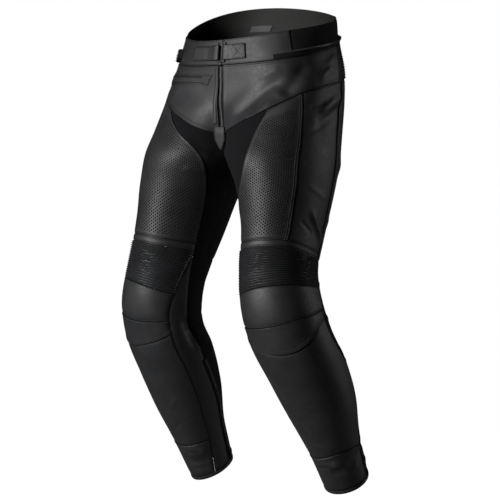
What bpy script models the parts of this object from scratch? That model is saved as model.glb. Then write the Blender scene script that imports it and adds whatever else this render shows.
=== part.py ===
"""Leather motorcycle trousers, filled out as if worn, held up at the waist.

Metres, +Z up.  The front faces -Y and the wearer's left is +X.  The origin is the middle
of the waist opening, where the wearer's waist holds the garment.

The outside of the garment is one smooth skin.  A place on it is given by
    turn   degrees round a leg: 0 inside leg, 90 front, 180 outer side, 270 behind
    down   millimetres along the garment from the waist edge to the hem
Every cut piece is the stretch of that skin between its four seams, given a wall.
"""
import math

import bmesh
import bpy
import numpy as np
from mathutils import Matrix

MM = 0.001
LEFT, RIGHT = 1, -1
SIDE_NAMES = {LEFT: "left", RIGHT: "right"}

# ---------------------------------------------------------------- driving sizes (mm)
LEATHER_WALL = 2.0
STRETCH_WALL = 1.6
BAND_WALL = 2.8
LINING_WALL = 1.0
TAPE_WALL = 1.2
SEAM_GAP = 0.6
SHARP_ANGLE = 42                # degrees between faces that show as an edge
BAND_HEIGHT = 56.0
HEM_DOWN = 1025.0
HEM_BINDING_HEIGHT = 8.0
KNEE_RIBS = 18
KNEE_RIB_HEIGHT = 2.6
YOKE_RIBS = 14
YOKE_RIB_HEIGHT = 2.4

# Sections of one half, from the waist edge to the hem.  "across", "behind" and "height"
# place the leg's middle; "half_width", "front" and "back" are its reach; "pitch" lowers the
# front and "yaw" turns the toe out (degrees); "square" is the section's squareness;
# "web" and "seat" fill the gap between the two legs in front and behind; "roll" lifts the
# front towards the wearer's left and the back towards the right (degrees).
SECTION_COLUMNS = ("down", "across", "behind", "height", "half_width", "front", "back",
                   "pitch", "yaw", "square", "web", "seat", "roll")
SECTIONS = (
    (0, 0, 2, 3, 181, 126, 128, 15, 0, 2.10, 0.00, 0.00, 4.0),       # waist edge
    (55, 25, -8, -52, 159, 119, 126, 15, 0, 2.45, 0.10, 0.10, 3.0),  # foot of the waistband
    (110, 54, -17, -107, 146, 109, 129, 13, 0, 2.50, 0.22, 0.50, 1.5),
    (170, 88, -31, -167, 121, 112, 134, 9, 0, 2.35, 0.25, 0.80, 0),  # hips
    (230, 105, -48, -227, 112, 118, 134, 3, 0, 2.25, 0.30, 0.60, 0),
    (285, 116, -62, -280, 111, 122, 128, -4, 0, 2.15, 0.25, 0.25, 0),  # crotch
    (361, 136, -78, -350, 94, 111, 116, -10, 4, 2.10, 0.20, 0.20, 0),
    (443, 147, -95, -430, 80, 100, 102, -13, 9, 2.10, 0.10, 0.10, 0),
    (527, 157, -117, -510, 78, 88, 88, -10, 12, 2.15, 0.10, 0.10, 0),  # knee accordion
    (604, 171, -122, -585, 83, 86, 82, 5, 13, 2.20, 0.10, 0.10, 0),  # knee cup
    (672, 181, -106, -650, 87, 81, 79, 18, 13, 2.15, 0.10, 0.10, 0),
    (753, 187, -66, -720, 83, 78, 86, 27, 12, 2.10, 0.10, 0.10, 0),  # calf
    (844, 192, -22, -800, 72, 72, 80, 29, 12, 2.10, 0.10, 0.10, 0),
    (932, 194, 15, -880, 55, 58, 64, 31, 10, 2.05, 0.10, 0.10, 0),   # ankle
    (1025, 194, 57, -966, 47, 48, 53, 31, 10, 2.00, 0.10, 0.10, 0),  # hem
)

# The largest folds: soft ridges (height over 0) and troughs from one place to another (mm).
FOLD_COLUMNS = ("side", "turn_a", "down_a", "turn_b", "down_b", "width", "height")
FOLDS = (
    (LEFT, 161, 76, 137, 135, 14, -6.0),    # hip, deep diagonal trough
    (LEFT, 70, 179, 145, 90, 12, -4.5),     # hip, long trough and ridge from beside the fly
    (LEFT, 76, 206, 128, 142, 11, 3.5),
    (LEFT, 172, 116, 196, 72, 12, 3.5),
    (RIGHT, 84, 196, 140, 110, 15, 1.5),
    (LEFT, 211, 159, 174, 184, 12, 4.0),    # outer thigh, just under the hip panel
    (LEFT, 170, 214, 208, 182, 13, -3.5),
    (RIGHT, 168, 196, 206, 158, 13, -3.5),
    (LEFT, 166, 405, 206, 470, 10, 4.5),    # outer thigh, above the knee
    (RIGHT, 168, 400, 204, 468, 10, 4.0),
    (RIGHT, 46, 282, 2, 298, 11, 4.0),      # stretch cloth under the fly
    (RIGHT, 64, 243, 28, 284, 11, -3.5),
    (LEFT, 50, 276, 4, 298, 11, 3.5),
    (RIGHT, 58, 322, 32, 325, 9, 2.5),
    (RIGHT, -8, 690, -40, 755, 13, 6.5),    # behind the bent knees
    (RIGHT, 2, 640, -8, 716, 13, -5.5),
    (LEFT, -8, 690, -40, 755, 13, 6.0),
    (LEFT, 2, 640, -8, 716, 13, -5.0),
    (LEFT, 218, 640, 262, 668, 13, 5.0),
    (RIGHT, 222, 636, 268, 660, 13, 5.0),
    (LEFT, 216, 700, 256, 716, 12, -4.0),
    (RIGHT, 214, 706, 258, 720, 12, -4.0),
    (LEFT, 230, 545, 300, 560, 14, -4.5),
    (RIGHT, 226, 550, 304, 562, 14, -4.5),
    (LEFT, 222, 285, 300, 345, 16, 4.0),    # under the seat
    (RIGHT, 224, 290, 302, 340, 16, 4.0),
    (LEFT, 60, 944, 150, 962, 9, 3.5),      # ankle creases
    (LEFT, 96, 972, 186, 952, 9, -3.0),
    (RIGHT, 30, 960, 104, 946, 9, 3.5),
    (RIGHT, 34, 984, 96, 972, 9, -3.0),
)


# ---------------------------------------------------------------- seams
def smooth_curve(*points):
    """A smooth curve through (key, value) points, level beyond its two ends."""
    keys = np.array([p[0] for p in points], dtype=float)
    values = np.array([p[1] for p in points], dtype=float)
    slopes = np.gradient(values, keys)

    def curve(key):
        key = np.clip(np.asarray(key, dtype=float), keys[0], keys[-1])
        i = np.clip(np.searchsorted(keys, key) - 1, 0, len(keys) - 2)
        step = keys[i + 1] - keys[i]
        t = (key - keys[i]) / step
        return (values[i] * (2 * t**3 - 3 * t**2 + 1) + slopes[i] * step * (t**3 - 2 * t**2 + t)
                + values[i + 1] * (3 * t**2 - 2 * t**3) + slopes[i + 1] * step * (t**3 - t**2))
    return curve


def level(value):
    """A seam that keeps one turn or one distance down."""
    return lambda key: np.full(np.shape(key), float(value))


# Cross seams, turn -> down.
BAND_FOOT = level(BAND_HEIGHT)
HIP_SEAM = smooth_curve((24, 238), (34, 231), (50, 221), (67, 207), (80, 195), (92, 184),
                        (106, 173), (120, 160), (134, 148), (154, 134), (170, 130), (210, 132),
                        (300, 138))
STRIP_TOP = smooth_curve((-10, 480), (20, 481), (45, 482), (67, 483), (91, 479), (110, 477),
                         (130, 476), (156, 481), (205, 486))
ACCORDION_TOP = smooth_curve((-5, 500), (12, 499), (42, 498), (65, 498), (91, 494), (109, 492),
                             (131, 490), (157, 493), (200, 498), (210, 499))
ACCORDION_FOOT = smooth_curve((10, 590), (50, 577), (94, 565), (125, 560), (200, 562))
CUP_SEAM = smooth_curve((20, 641), (52, 637), (95, 630), (120, 624), (200, 611))
CRESCENT_FOOT = smooth_curve((20, 664), (43, 673), (70, 678), (92, 681), (130, 673), (155, 655),
                             (172, 637), (200, 633))
ANKLE_SEAM = smooth_curve((15, 941), (85, 934), (133, 928), (200, 944))
KNEE_BACK_SEAM = level(499)
CUFF_FOOT = level(HEM_DOWN - HEM_BINDING_HEIGHT)
SEAT_GUSSET_DOWN = 268.0

# Long seams, down -> turn.
STRETCH_EDGE = {
    RIGHT: smooth_curve((168, 113), (200, 95), (233, 75), (270, 55), (300, 42), (330, 31),
                        (369, 19), (410, 11), (455, 5), (500, 0)),
    LEFT: smooth_curve((166, 116), (190, 108), (229, 100), (281, 94), (306, 89), (328, 82),
                       (343, 77), (360, 70), (385, 59), (415, 45), (450, 27), (480, 11), (500, 0)),
}
THIGH_SEAM = smooth_curve((128, 154), (171, 152), (265, 150), (340, 144), (410, 136), (485, 129))
REAR_SEAM = smooth_curve((125, 205), (260, 208), (400, 207), (500, 203))
INSEAM = smooth_curve((290, 0), (310, -6), (345, -16), (400, -23), (500, -25))
GUSSET_BACK = smooth_curve((266, 322), (300, 312), (340, 305), (400, 301), (500, 300))
KNEE_INNER = smooth_curve((498, 0), (512, 3), (545, 10), (588, 19), (627, 26), (665, 26),
                          (722, 24), (790, 20), (885, 18), (935, 17), (980, 22), (1025, 30))
KNEE_OUTER = smooth_curve((498, 203), (560, 199), (605, 198), (632, 190), (680, 192), (724, 199),
                          (787, 210), (850, 208), (900, 203), (940, 196), (1025, 190))
ZIP_LINE = smooth_curve((506, -1), (528, -2), (595, -5), (648, -4), (700, -10), (761, -14),
                        (829, -22), (897, -32), (950, -34), (1025, -30))
YOKE_FRONT = level(199)
BAND_LEATHER_END = level(152)
BAND_STRETCH_END = level(214)


# ---------------------------------------------------------------- the skin
def section_at(down):
    """The section's sizes at a distance down the garment, smooth between the rows."""
    rows = np.array(SECTIONS, dtype=float)
    knots = rows[:, 0]
    slopes = np.gradient(rows, knots, axis=0)
    down = np.clip(np.asarray(down, dtype=float), knots[0], knots[-1])
    i = np.clip(np.searchsorted(knots, down) - 1, 0, len(knots) - 2)
    step = (knots[i + 1] - knots[i])[..., None]
    t = (down - knots[i])[..., None] / step
    value = ((2 * t**3 - 3 * t**2 + 1) * rows[i] + (t**3 - 2 * t**2 + t) * step * slopes[i]
             + (3 * t**2 - 2 * t**3) * rows[i + 1] + (t**3 - t**2) * step * slopes[i + 1])
    return {name: value[..., k] for k, name in enumerate(SECTION_COLUMNS)}


def reach_at_centre(c, fill):
    """How far the section reaches at the garment's middle line; 0 once the legs are apart."""
    power = c["square"]
    room = (1 + fill / 4)**power - (c["across"] / c["half_width"])**power
    return np.maximum(room, 0)**(1 / power)


def limits(down):
    """The turns at which the centre front and the centre back lie; 0 and 360 below the crotch."""
    c = section_at(down)
    ahead = reach_at_centre(c, np.maximum(c["web"], 1e-6))
    behind = reach_at_centre(c, np.maximum(c["seat"], 1e-6))
    joined = (ahead > 0) & (behind > 0)
    front = 180 - np.degrees(np.arctan2(ahead * c["front"], -c["across"] - 1e-9))
    back = 180 + np.degrees(np.arctan2(behind * c["back"], -c["across"] - 1e-9))
    return np.where(joined, front, 0), np.where(joined, back, 360)


def front_limit(down):
    return limits(down)[0]


def back_limit(down):
    return limits(down)[1]


def turn_at(from_centre_line, down):
    """The turn at which the front lies that far (mm) from the centre line."""
    c = section_at(down)
    depth = reach_at_centre(c, np.maximum(c["web"], 1e-6)) * c["front"]
    return 180 - np.degrees(np.arctan2(depth, from_centre_line - c["across"]))


def gauge(x, y, c):
    """1 on the section's outline, less inside it and more outside it."""
    depth = np.where(y < 0, c["front"], c["back"])
    power = c["square"]
    return (np.abs(x / c["half_width"])**power + np.abs(y / depth)**power + 1e-12)**(1 / power)


def bare_skin(side, turn, down):
    """Points of the skin without folds, in metres."""
    turn, down = np.broadcast_arrays(np.asarray(turn, float), np.asarray(down, float))
    c = section_at(down)
    front, back = limits(down)
    bounded = np.where(front > 0, np.clip(turn, front, back), turn)
    angle = np.radians(bounded) - math.pi
    cos, sin = np.cos(angle), np.sin(angle)
    across = np.maximum(c["across"], 0)
    fill = np.maximum(np.where(sin < 0, c["web"], c["seat"]), 1e-6)
    unit = gauge(cos, sin, c)
    low, high = 0.3 / unit, 1.6 / unit
    to_middle = across / np.maximum(-cos, 1e-9) + 1e-6
    high = np.where(cos < -1e-9, np.minimum(high, to_middle), high)
    for _ in range(34):
        reach = (low + high) / 2
        near = gauge(reach * cos, reach * sin, c)
        far = gauge(2 * across + reach * cos, reach * sin, c)
        overlap = np.maximum(fill - np.abs(near - far), 0)
        inside = np.minimum(near, far) - overlap**2 / (4 * fill) < 1
        low = np.where(inside, reach, low)
        high = np.where(inside, high, reach)
    x, y = low * cos, low * sin
    yaw, pitch = np.radians(c["yaw"]), np.radians(c["pitch"])
    flat_y = y * np.cos(pitch)
    world_x = side * (across + x * np.cos(yaw) - flat_y * np.sin(yaw))
    world_y = c["behind"] + x * np.sin(yaw) + flat_y * np.cos(yaw)
    ahead = np.clip(0.5 - y / 250, 0, 1)**1.5
    astern = np.clip(0.5 + y / 250, 0, 1)**1.5
    lift = world_x * (ahead - astern) * np.sin(np.radians(c["roll"]))
    world_z = c["height"] + y * np.sin(pitch) + lift
    return np.stack([world_x, world_y, world_z], axis=-1) * MM


def outward(side, turn, down):
    """Unit vectors out of the skin, read from above it over the crotch and at the hem."""
    turn, down = np.broadcast_arrays(np.asarray(turn, float), np.asarray(down, float))
    front, back = limits(down)
    merged = front > 0
    turn = np.where(merged, np.clip(turn, front + 0.6, back - 0.6), turn)
    upper = np.where(merged | (down > HEM_DOWN - 4), down - 2, down)
    round_step = bare_skin(side, turn + 0.5, down) - bare_skin(side, turn - 0.5, down)
    down_step = bare_skin(side, turn, upper + 2) - bare_skin(side, turn, upper)
    normal = np.cross(down_step, round_step) * side
    return normal / np.linalg.norm(normal, axis=-1, keepdims=True)


def fold_height(side, turn, down):
    """How far the folds stand out of the skin, in mm."""
    total = np.zeros(np.broadcast(turn, down).shape)
    section = section_at(down)
    per_degree = (section["half_width"] + section["front"]) / 2 * math.pi / 180
    for row in FOLDS:
        fold = dict(zip(FOLD_COLUMNS, row))
        if fold["side"] != side:
            continue
        along_turn = (fold["turn_b"] - fold["turn_a"]) * per_degree
        along_down = fold["down_b"] - fold["down_a"]
        length = np.hypot(along_turn, along_down)
        start_turn = (np.asarray(turn) - fold["turn_a"] + 180) % 360 - 180
        east = start_turn * per_degree
        south = np.asarray(down) - fold["down_a"]
        part = (east * along_turn + south * along_down) / length**2
        off = (east * along_down - south * along_turn) / length
        fade = np.clip(np.minimum(part + 0.1, 1.1 - part) / 0.3, 0, 1)
        fade = fade * fade * (3 - 2 * fade)
        total = total + fold["height"] * fade * np.exp(-(off / fold["width"])**2)
    return total


def skin(side, turn, down, lift=0.0):
    """Points of the folded skin, moved out of it by lift (mm)."""
    turn, down = np.broadcast_arrays(np.asarray(turn, float), np.asarray(down, float))
    out = outward(side, turn, down)
    height = fold_height(side, turn, down) + lift
    return bare_skin(side, turn, down) + out * height[..., None] * MM


def degrees_for(length, down):
    """The turn that spans a length (mm) round the leg."""
    section = section_at(down)
    return np.degrees(length / ((section["half_width"] + section["front"]) / 2))


# ---------------------------------------------------------------- solids
def make_object(name, points, faces, material):
    mesh = bpy.data.meshes.new(name)
    mesh.from_pydata([tuple(p) for p in points], [], faces)
    mesh.materials.append(material)
    mesh.shade_smooth()
    mesh.set_sharp_from_angle(angle=math.radians(SHARP_ANGLE))
    obj = bpy.data.objects.new(name, mesh)
    bpy.context.scene.collection.objects.link(obj)
    return obj


def wall_between(name, outer, inner, material, mirrored=False, closed=False):
    """A closed wall between an outer and an inner grid of points (rows, columns, 3).

    The inner grid may have fewer rows, each under a group of the outer ones.
    """
    rows, columns = outer.shape[:2]
    group = (rows - 1) // (inner.shape[0] - 1)
    points = np.concatenate([outer.reshape(-1, 3), inner.reshape(-1, 3)])
    under = rows * columns
    spans = columns if closed else columns - 1
    faces = []

    def add_sheet(first, row_count, turned):
        for row in range(row_count - 1):
            for column in range(spans):
                a = first + row * columns + column
                d = first + row * columns + (column + 1) % columns
                b, c = a + columns, d + columns
                for face in ((a, b, c), (a, c, d)):
                    faces.append(tuple(reversed(face)) if turned else face)

    def add_side(column, turned):
        for k in range(inner.shape[0] - 1):
            chain = [(k * group + j) * columns + column for j in range(group + 1)]
            top = under + k * columns + column
            foot = top + columns
            half = group // 2
            fan = [(chain[j], chain[j + 1], top) for j in range(half)]
            fan.append((chain[half], foot, top))
            fan += [(chain[j], chain[j + 1], foot) for j in range(half, group)]
            faces.extend(tuple(reversed(face)) if turned else face for face in fan)

    add_sheet(0, rows, False)
    add_sheet(under, inner.shape[0], True)
    last_inner = under + (inner.shape[0] - 1) * columns
    for column in range(spans):
        beside = (column + 1) % columns
        faces.append((column, beside, under + beside, under + column))
        foot = (rows - 1) * columns
        faces.append((foot + beside, foot + column, last_inner + column, last_inner + beside))
    if not closed:
        add_side(0, True)
        add_side(columns - 1, False)
    if mirrored:
        faces = [tuple(reversed(face)) for face in faces]
    return make_object(name, points, faces, material)


def fill(west, east, north, south, columns, rows, insets, crowd=1.0):
    """Grids of turn and down that fill the stretch between four seams.

    insets are how far (mm) it keeps from its west, east, north and south seams; rows stand
    closer at the top where crowd is over 1.
    """
    u = np.linspace(0, 1, columns + 1)[None, :]
    v = np.linspace(0, 1, rows + 1)[:, None]**crowd
    down = np.full((rows + 1, columns + 1), float(np.mean(north(np.array(120.0)))))
    for _ in range(24):
        start = west(down) + degrees_for(insets[0], down)
        end = east(down) - degrees_for(insets[1], down)
        turn = start + (end - start) * u
        top, foot = north(turn) + insets[2], south(turn) - insets[3]
        down = 0.5 * down + 0.5 * (top + (foot - top) * v)
    return turn, top + (foot - top) * v


def ribs(rows, count, height):
    """Height of each row of an accordion: none at its edges and between its ribs."""
    return height * np.sin(np.pi * np.linspace(0, count, rows + 1))[:, None]**2


def panel(name, side, seams, material, columns, rows, wall=LEATHER_WALL, lift=0.0, relief=0.0,
          gap=SEAM_GAP, inner_every=1, crowd=1.0):
    """One cut piece: the wall of skin between its west, east, north and south seams."""
    turn, down = fill(*seams, columns, rows, (gap / 2,) * 4, crowd)
    outer = skin(side, turn, down, lift + relief + np.zeros_like(turn))
    inner = skin(side, turn, down, lift - wall)[::inner_every]
    for grid in (outer, inner):
        grid[..., 0] = side * np.maximum(side * grid[..., 0], SEAM_GAP / 2 * MM)
    return wall_between(name, outer, inner, material, mirrored=side < 0)


def across_centre(name, at_front, edges, north, south, material, columns, rows,
                  wall=LEATHER_WALL, lift=0.0, relief=0.0, lean=0.0, inner_every=1):
    """One piece over the centre line, in front or behind, as far as a seam on each side.

    lean is how far its upper edge stands off further than its lower one.
    """
    halves = {}
    for side in (LEFT, RIGHT):
        inset = SEAM_GAP / 2
        if at_front:
            seams, insets = (front_limit, edges[side]), (0, inset, inset, inset)
        else:
            seams, insets = (edges[side], back_limit), (inset, 0, inset, inset)
        turn, down = fill(*seams, north, south, columns, rows, insets)
        base = lift + lean * (1 - np.linspace(0, 1, rows + 1))[:, None] + np.zeros_like(turn)
        outer = skin(side, turn, down, base + relief)
        inner = skin(side, turn, down, base - wall)[::inner_every]
        centre = 0 if at_front else -1
        for grid in (outer, inner):
            grid[:, centre, 0] = 0
        halves[side] = (outer, inner)
    if at_front:
        outer, inner = (np.concatenate([halves[RIGHT][k][:, :0:-1], halves[LEFT][k]], axis=1)
                        for k in (0, 1))
    else:
        outer, inner = (np.concatenate([halves[LEFT][k], halves[RIGHT][k][:, -2::-1]], axis=1)
                        for k in (0, 1))
    return wall_between(name, outer, inner, material)


def prism(name, rings, material):
    """A closed solid through rings of points, with flat ends."""
    rings = np.array(rings)
    total, count = rings.shape[:2]
    faces = []
    for k in range(total - 1):
        for i in range(count):
            j = (i + 1) % count
            faces.append((k * count + i, k * count + j, (k + 1) * count + j, (k + 1) * count + i))
    faces.append(tuple(reversed(range(count))))
    faces.append(tuple((total - 1) * count + i for i in range(count)))
    obj = make_object(name, rings.reshape(-1, 3), faces, material)
    mesh = bmesh.new()
    mesh.from_mesh(obj.data)
    bmesh.ops.recalc_face_normals(mesh, faces=mesh.faces)
    mesh.to_mesh(obj.data)
    mesh.free()
    return obj


def place_on(side, turn, down, lift):
    """Origin and unit vectors of a spot on the garment: round it, down it and out of it."""
    origin = skin(side, turn, down, lift)
    out = outward(side, turn, down)
    along = bare_skin(side, turn, down + 2) - bare_skin(side, turn, down - 2)
    along = along / np.linalg.norm(along)
    across = np.cross(out, along)
    return origin, across, along, out


def clear_scene():
    for obj in list(bpy.data.objects):
        bpy.data.objects.remove(obj, do_unlink=True)


def plain_material(name, colour, roughness, metallic=0.0):
    material = bpy.data.materials.new(name)
    material.use_nodes = True
    shader = material.node_tree.nodes["Principled BSDF"]
    shader.inputs["Base Color"].default_value = (*colour, 1)
    shader.inputs["Roughness"].default_value = roughness
    shader.inputs["Metallic"].default_value = metallic
    return material


# ---------------------------------------------------------------- waistband and its fittings
FACING_FRONT = 150              # the turns at which the back's facing and lining end
LINING_FRONT = 196
FACING_FOOT = 45
LINING_FOOT = 100
INSIDE_BAND = -BAND_WALL - 1.4  # the lining's outer face, inside the waistband
LABEL_TURNS = (229, 250)
LABEL_TOP = 39
LABEL_FOOT = 52
LABEL_WALL = 0.8
LABEL_LIFT = INSIDE_BAND - 1.8
BUCKLE_CENTRE_X = 0.5
BUCKLE_HALF_WIDTH = 11.5
BUCKLE_HALF_HEIGHT = 21.0
BUCKLE_BAR = 3.0
BUCKLE_BAR_SIDES = 6
BUCKLE_CORNER = 3.0
BUCKLE_DOWN = 28.0
BUCKLE_LIFT = 3.8
STRAP_THICKNESS = 1.4
STRAP_SPAN = (13.0, 45.0)       # top and bottom edge of the waist strap, down from the rim


def build_waistband(mats):
    for side in (LEFT, RIGHT):
        label = SIDE_NAMES[side]
        panel(f"waistband_front_{label}", side,
              (front_limit, BAND_LEATHER_END, level(0), BAND_FOOT), mats["leather"], 8, 2,
              wall=BAND_WALL)
        panel(f"waistband_stretch_{label}", side,
              (BAND_LEATHER_END, BAND_STRETCH_END, level(0), BAND_FOOT), mats["mesh"], 8, 2,
              wall=BAND_WALL)
    ends = {LEFT: BAND_STRETCH_END, RIGHT: BAND_STRETCH_END}
    across_centre("waistband_back", False, ends, level(0), BAND_FOOT, mats["leather"], 7, 2,
                  wall=BAND_WALL)
    edges = {LEFT: level(FACING_FRONT), RIGHT: level(FACING_FRONT)}
    across_centre("waist_facing", False, edges, level(1), level(FACING_FOOT), mats["lining"],
                  12, 2, wall=LINING_WALL, lift=INSIDE_BAND)
    edges = {LEFT: level(LINING_FRONT), RIGHT: level(LINING_FRONT)}
    across_centre("seat_lining", False, edges, level(FACING_FOOT), level(LINING_FOOT),
                  mats["lining"], 8, 2, wall=LINING_WALL, lift=INSIDE_BAND)
    west, east = LABEL_TURNS
    panel("inner_label", RIGHT,
          (level(west), level(east), level(LABEL_TOP), level(LABEL_FOOT)),
          mats["label"], 4, 1, wall=LABEL_WALL, lift=LABEL_LIFT)


def buckle_point(x, height, lift):
    """A point over the band's centre front: x across, height up and lift out of it (mm)."""
    origin = bare_skin(LEFT, 0.0, BUCKLE_DOWN)
    up = bare_skin(LEFT, 0.0, BUCKLE_DOWN - 15) - bare_skin(LEFT, 0.0, BUCKLE_DOWN + 15)
    up = up / np.linalg.norm(up) * [0, 1, 1]
    out = np.cross(up, [1, 0, 0]) * -1
    return origin * [0, 1, 1] + (np.array([x, 0, 0]) + up * height + out * lift) * MM


def build_buckle(mats):
    """The rectangular ring that joins the waist strap to its anchor tab."""
    half_x = BUCKLE_HALF_WIDTH - BUCKLE_BAR / 2
    half_z = BUCKLE_HALF_HEIGHT - BUCKLE_BAR / 2
    path = []
    for quarter, (sx, sz) in enumerate(((1, 1), (-1, 1), (-1, -1), (1, -1))):
        for step in (0, 45, 90):
            angle = math.radians(quarter * 90 + step)
            path.append((sx * (half_x - BUCKLE_CORNER) + BUCKLE_CORNER * math.cos(angle),
                         sz * (half_z - BUCKLE_CORNER) + BUCKLE_CORNER * math.sin(angle),
                         math.cos(angle), math.sin(angle)))
    rings = []
    for x, z, nx, nz in path:
        ring = []
        for k in range(BUCKLE_BAR_SIDES):
            angle = math.radians(360 / BUCKLE_BAR_SIDES * (k + 0.5))
            side_step = BUCKLE_BAR / 2 * math.cos(angle)
            out_step = BUCKLE_BAR / 2 * math.sin(angle)
            ring.append(buckle_point(BUCKLE_CENTRE_X + x + nx * side_step, z + nz * side_step,
                                     BUCKLE_LIFT + out_step))
        rings.append(ring)
    count, sides = len(rings), BUCKLE_BAR_SIDES
    faces = []
    for k in range(count):
        for i in range(sides):
            a, b = k * sides + i, k * sides + (i + 1) % sides
            c, d = ((k + 1) % count) * sides + (i + 1) % sides, ((k + 1) % count) * sides + i
            faces.append((a, d, c, b))
    obj = make_object("waist_buckle", np.array(rings).reshape(-1, 3), faces, mats["plastic"])
    mesh = bmesh.new()
    mesh.from_mesh(obj.data)
    bmesh.ops.recalc_face_normals(mesh, faces=mesh.faces)
    mesh.to_mesh(obj.data)
    mesh.free()


# A folded strap seen from above: distance from the centre front (mm) and lift of its middle,
# from the hidden end, round the buckle's bar and back to the sewn or rounded end.
STRAP_COLUMNS = ("from_centre", "lift")
WAIST_STRAP = ((34, 1.3), (22, 1.3), (9, 1.3), (5.2, 2.4), (4.7, 4.4), (6.2, 6.1), (10, 6.7),
               (15, 6.5), (20, 5.4), (26, 3.9), (34, 3.1), (48, 3.1), (62, 3.1), (76, 3.1),
               (88, 3.1))
ANCHOR_TAB = ((26, 1.3), (18, 1.3), (11, 1.3), (7.6, 2.4), (7.2, 4.4), (8.6, 6.2), (12.6, 6.9),
              (17, 6.5), (22, 5.1), (28, 3.9), (35, 3.2), (49, 3.2), (63, 3.2))
STRAP_FLARE = 0.10              # how much longer the straps lie along their lower edge
STRAP_FOLD = 8.0


def strap(name, side, path, down_from, down_to, material):
    """A strap that keeps its thickness along a folded path."""
    path = np.array(path, dtype=float)
    step = np.gradient(path, axis=0)
    step = step / np.linalg.norm(step, axis=1, keepdims=True)
    beside = np.stack([-step[:, 1], step[:, 0]], axis=1) * STRAP_THICKNESS / 2
    outline = np.concatenate([path + beside, (path - beside)[::-1]])
    place = dict(zip(STRAP_COLUMNS, outline.T))
    rings = []
    for part in (0, 0.5, 1):
        down = down_from + (down_to - down_from) * part
        flare = (place["from_centre"] - STRAP_FOLD) * STRAP_FLARE * part
        rings.append(skin(side, turn_at(place["from_centre"] + flare, down), down, place["lift"]))
    return prism(name, rings, material)


CONNECTION_ENDS = {LEFT: level(137), RIGHT: level(150)}
CONNECTION_TOP = 44.0
CONNECTION_LIFT = 2.4
CONNECTION_LEAN = 3.0           # how much further its free upper edge stands off
TAPE_END_TURN = 143.0
TAPE_END_SWEEP = 0.10           # degrees that it turns back for each mm that it stands out
TAPE_END_HALF_WALL = 0.9
TAPE_END_COLUMNS = ("out", "top", "foot")
TAPE_END_ROWS = ((2.6, 27, 54), (5, 25, 55), (8, 25, 55), (11, 27, 54))


def build_connection_zip(mats):
    """Half a zip round the back of the waist, for joining a jacket, and its folded-out end."""
    across_centre("connection_zip_tape", False, CONNECTION_ENDS, level(CONNECTION_TOP), BAND_FOOT,
                  mats["tape"], 14, 2, wall=TAPE_WALL, lift=CONNECTION_LIFT, lean=CONNECTION_LEAN)
    radius = section_at(BAND_HEIGHT)["half_width"]
    rings = []
    for values in TAPE_END_ROWS:
        row = dict(zip(TAPE_END_COLUMNS, values))
        ring = []
        for edge, side in (("top", 1), ("foot", 1), ("foot", -1), ("top", -1)):
            aside = np.degrees(side * TAPE_END_HALF_WALL / radius)
            turn = TAPE_END_TURN + row["out"] * TAPE_END_SWEEP + aside
            ring.append(skin(RIGHT, turn, row[edge], row["out"]))
        rings.append(ring)
    prism("zip_tape_end", rings, mats["tape"])


# ---------------------------------------------------------------- hips
FLY_TOP = 58
FLY_FOOT = 207
FLY_GAP = 4.6
FLY_SINK = -0.4
PLACKET_EDGES = (6.2, 17)       # from the centre front
PLACKET_LIFT = 3.2
PLACKET_WALL = 1.2
PATCH_WALL = 1.4
FLY_TAB_COLUMNS = ("down", "half_width", "lift")
FLY_TAB_ROWS = ((208, 14.5, 10.5), (216, 14.8, 11.5), (226, 15, 13.3), (236, 14.5, 15.3),
                (246, 8, 10.0), (255, 1.5, 6.0))
FLY_TAB_WALL = 1.8
POCKET_TURNS = (86, 154)
POCKET_LIFT = 2.4
POCKET_TOP = smooth_curve((86, 82), (120, 80), (154, 91))
POCKET_FOOT = smooth_curve((86, 100), (111, 97), (133, 99), (154, 109))


def from_centre(length):
    """A seam that keeps a distance (mm) from the centre front."""
    return lambda down: front_limit(down) + degrees_for(length, down)


def build_hips(mats):
    for side in (LEFT, RIGHT):
        panel(f"hip_front_{SIDE_NAMES[side]}", side,
              (from_centre(FLY_GAP + 1), YOKE_FRONT, BAND_FOOT, HIP_SEAM), mats["leather"],
              16, 7)
    fly_edges = {LEFT: from_centre(FLY_GAP), RIGHT: from_centre(FLY_GAP)}
    across_centre("fly_zip", True, fly_edges, level(FLY_TOP), level(FLY_FOOT + 6), mats["tape"],
                  1, 8, wall=PATCH_WALL, lift=FLY_SINK)
    near, far = PLACKET_EDGES
    panel("fly_placket", RIGHT,
          (from_centre(near), from_centre(far), level(FLY_TOP), level(FLY_FOOT - 2)),
          mats["leather"], 1, 8, wall=PLACKET_WALL, lift=PLACKET_LIFT)
    build_fly_tab(mats)
    inner_end, outer_end = POCKET_TURNS
    panel("pocket_welt", RIGHT, (level(inner_end), level(outer_end), POCKET_TOP, POCKET_FOOT),
          mats["leather"], 7, 1, wall=PATCH_WALL, lift=POCKET_LIFT)
    ends = {LEFT: YOKE_FRONT, RIGHT: YOKE_FRONT}
    rows = YOKE_RIBS * 2
    across_centre("back_yoke_accordion", False, ends, BAND_FOOT, HIP_SEAM, mats["rib"], 6, rows,
                  wall=STRETCH_WALL, relief=ribs(rows, YOKE_RIBS, YOKE_RIB_HEIGHT),
                  inner_every=4)


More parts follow.
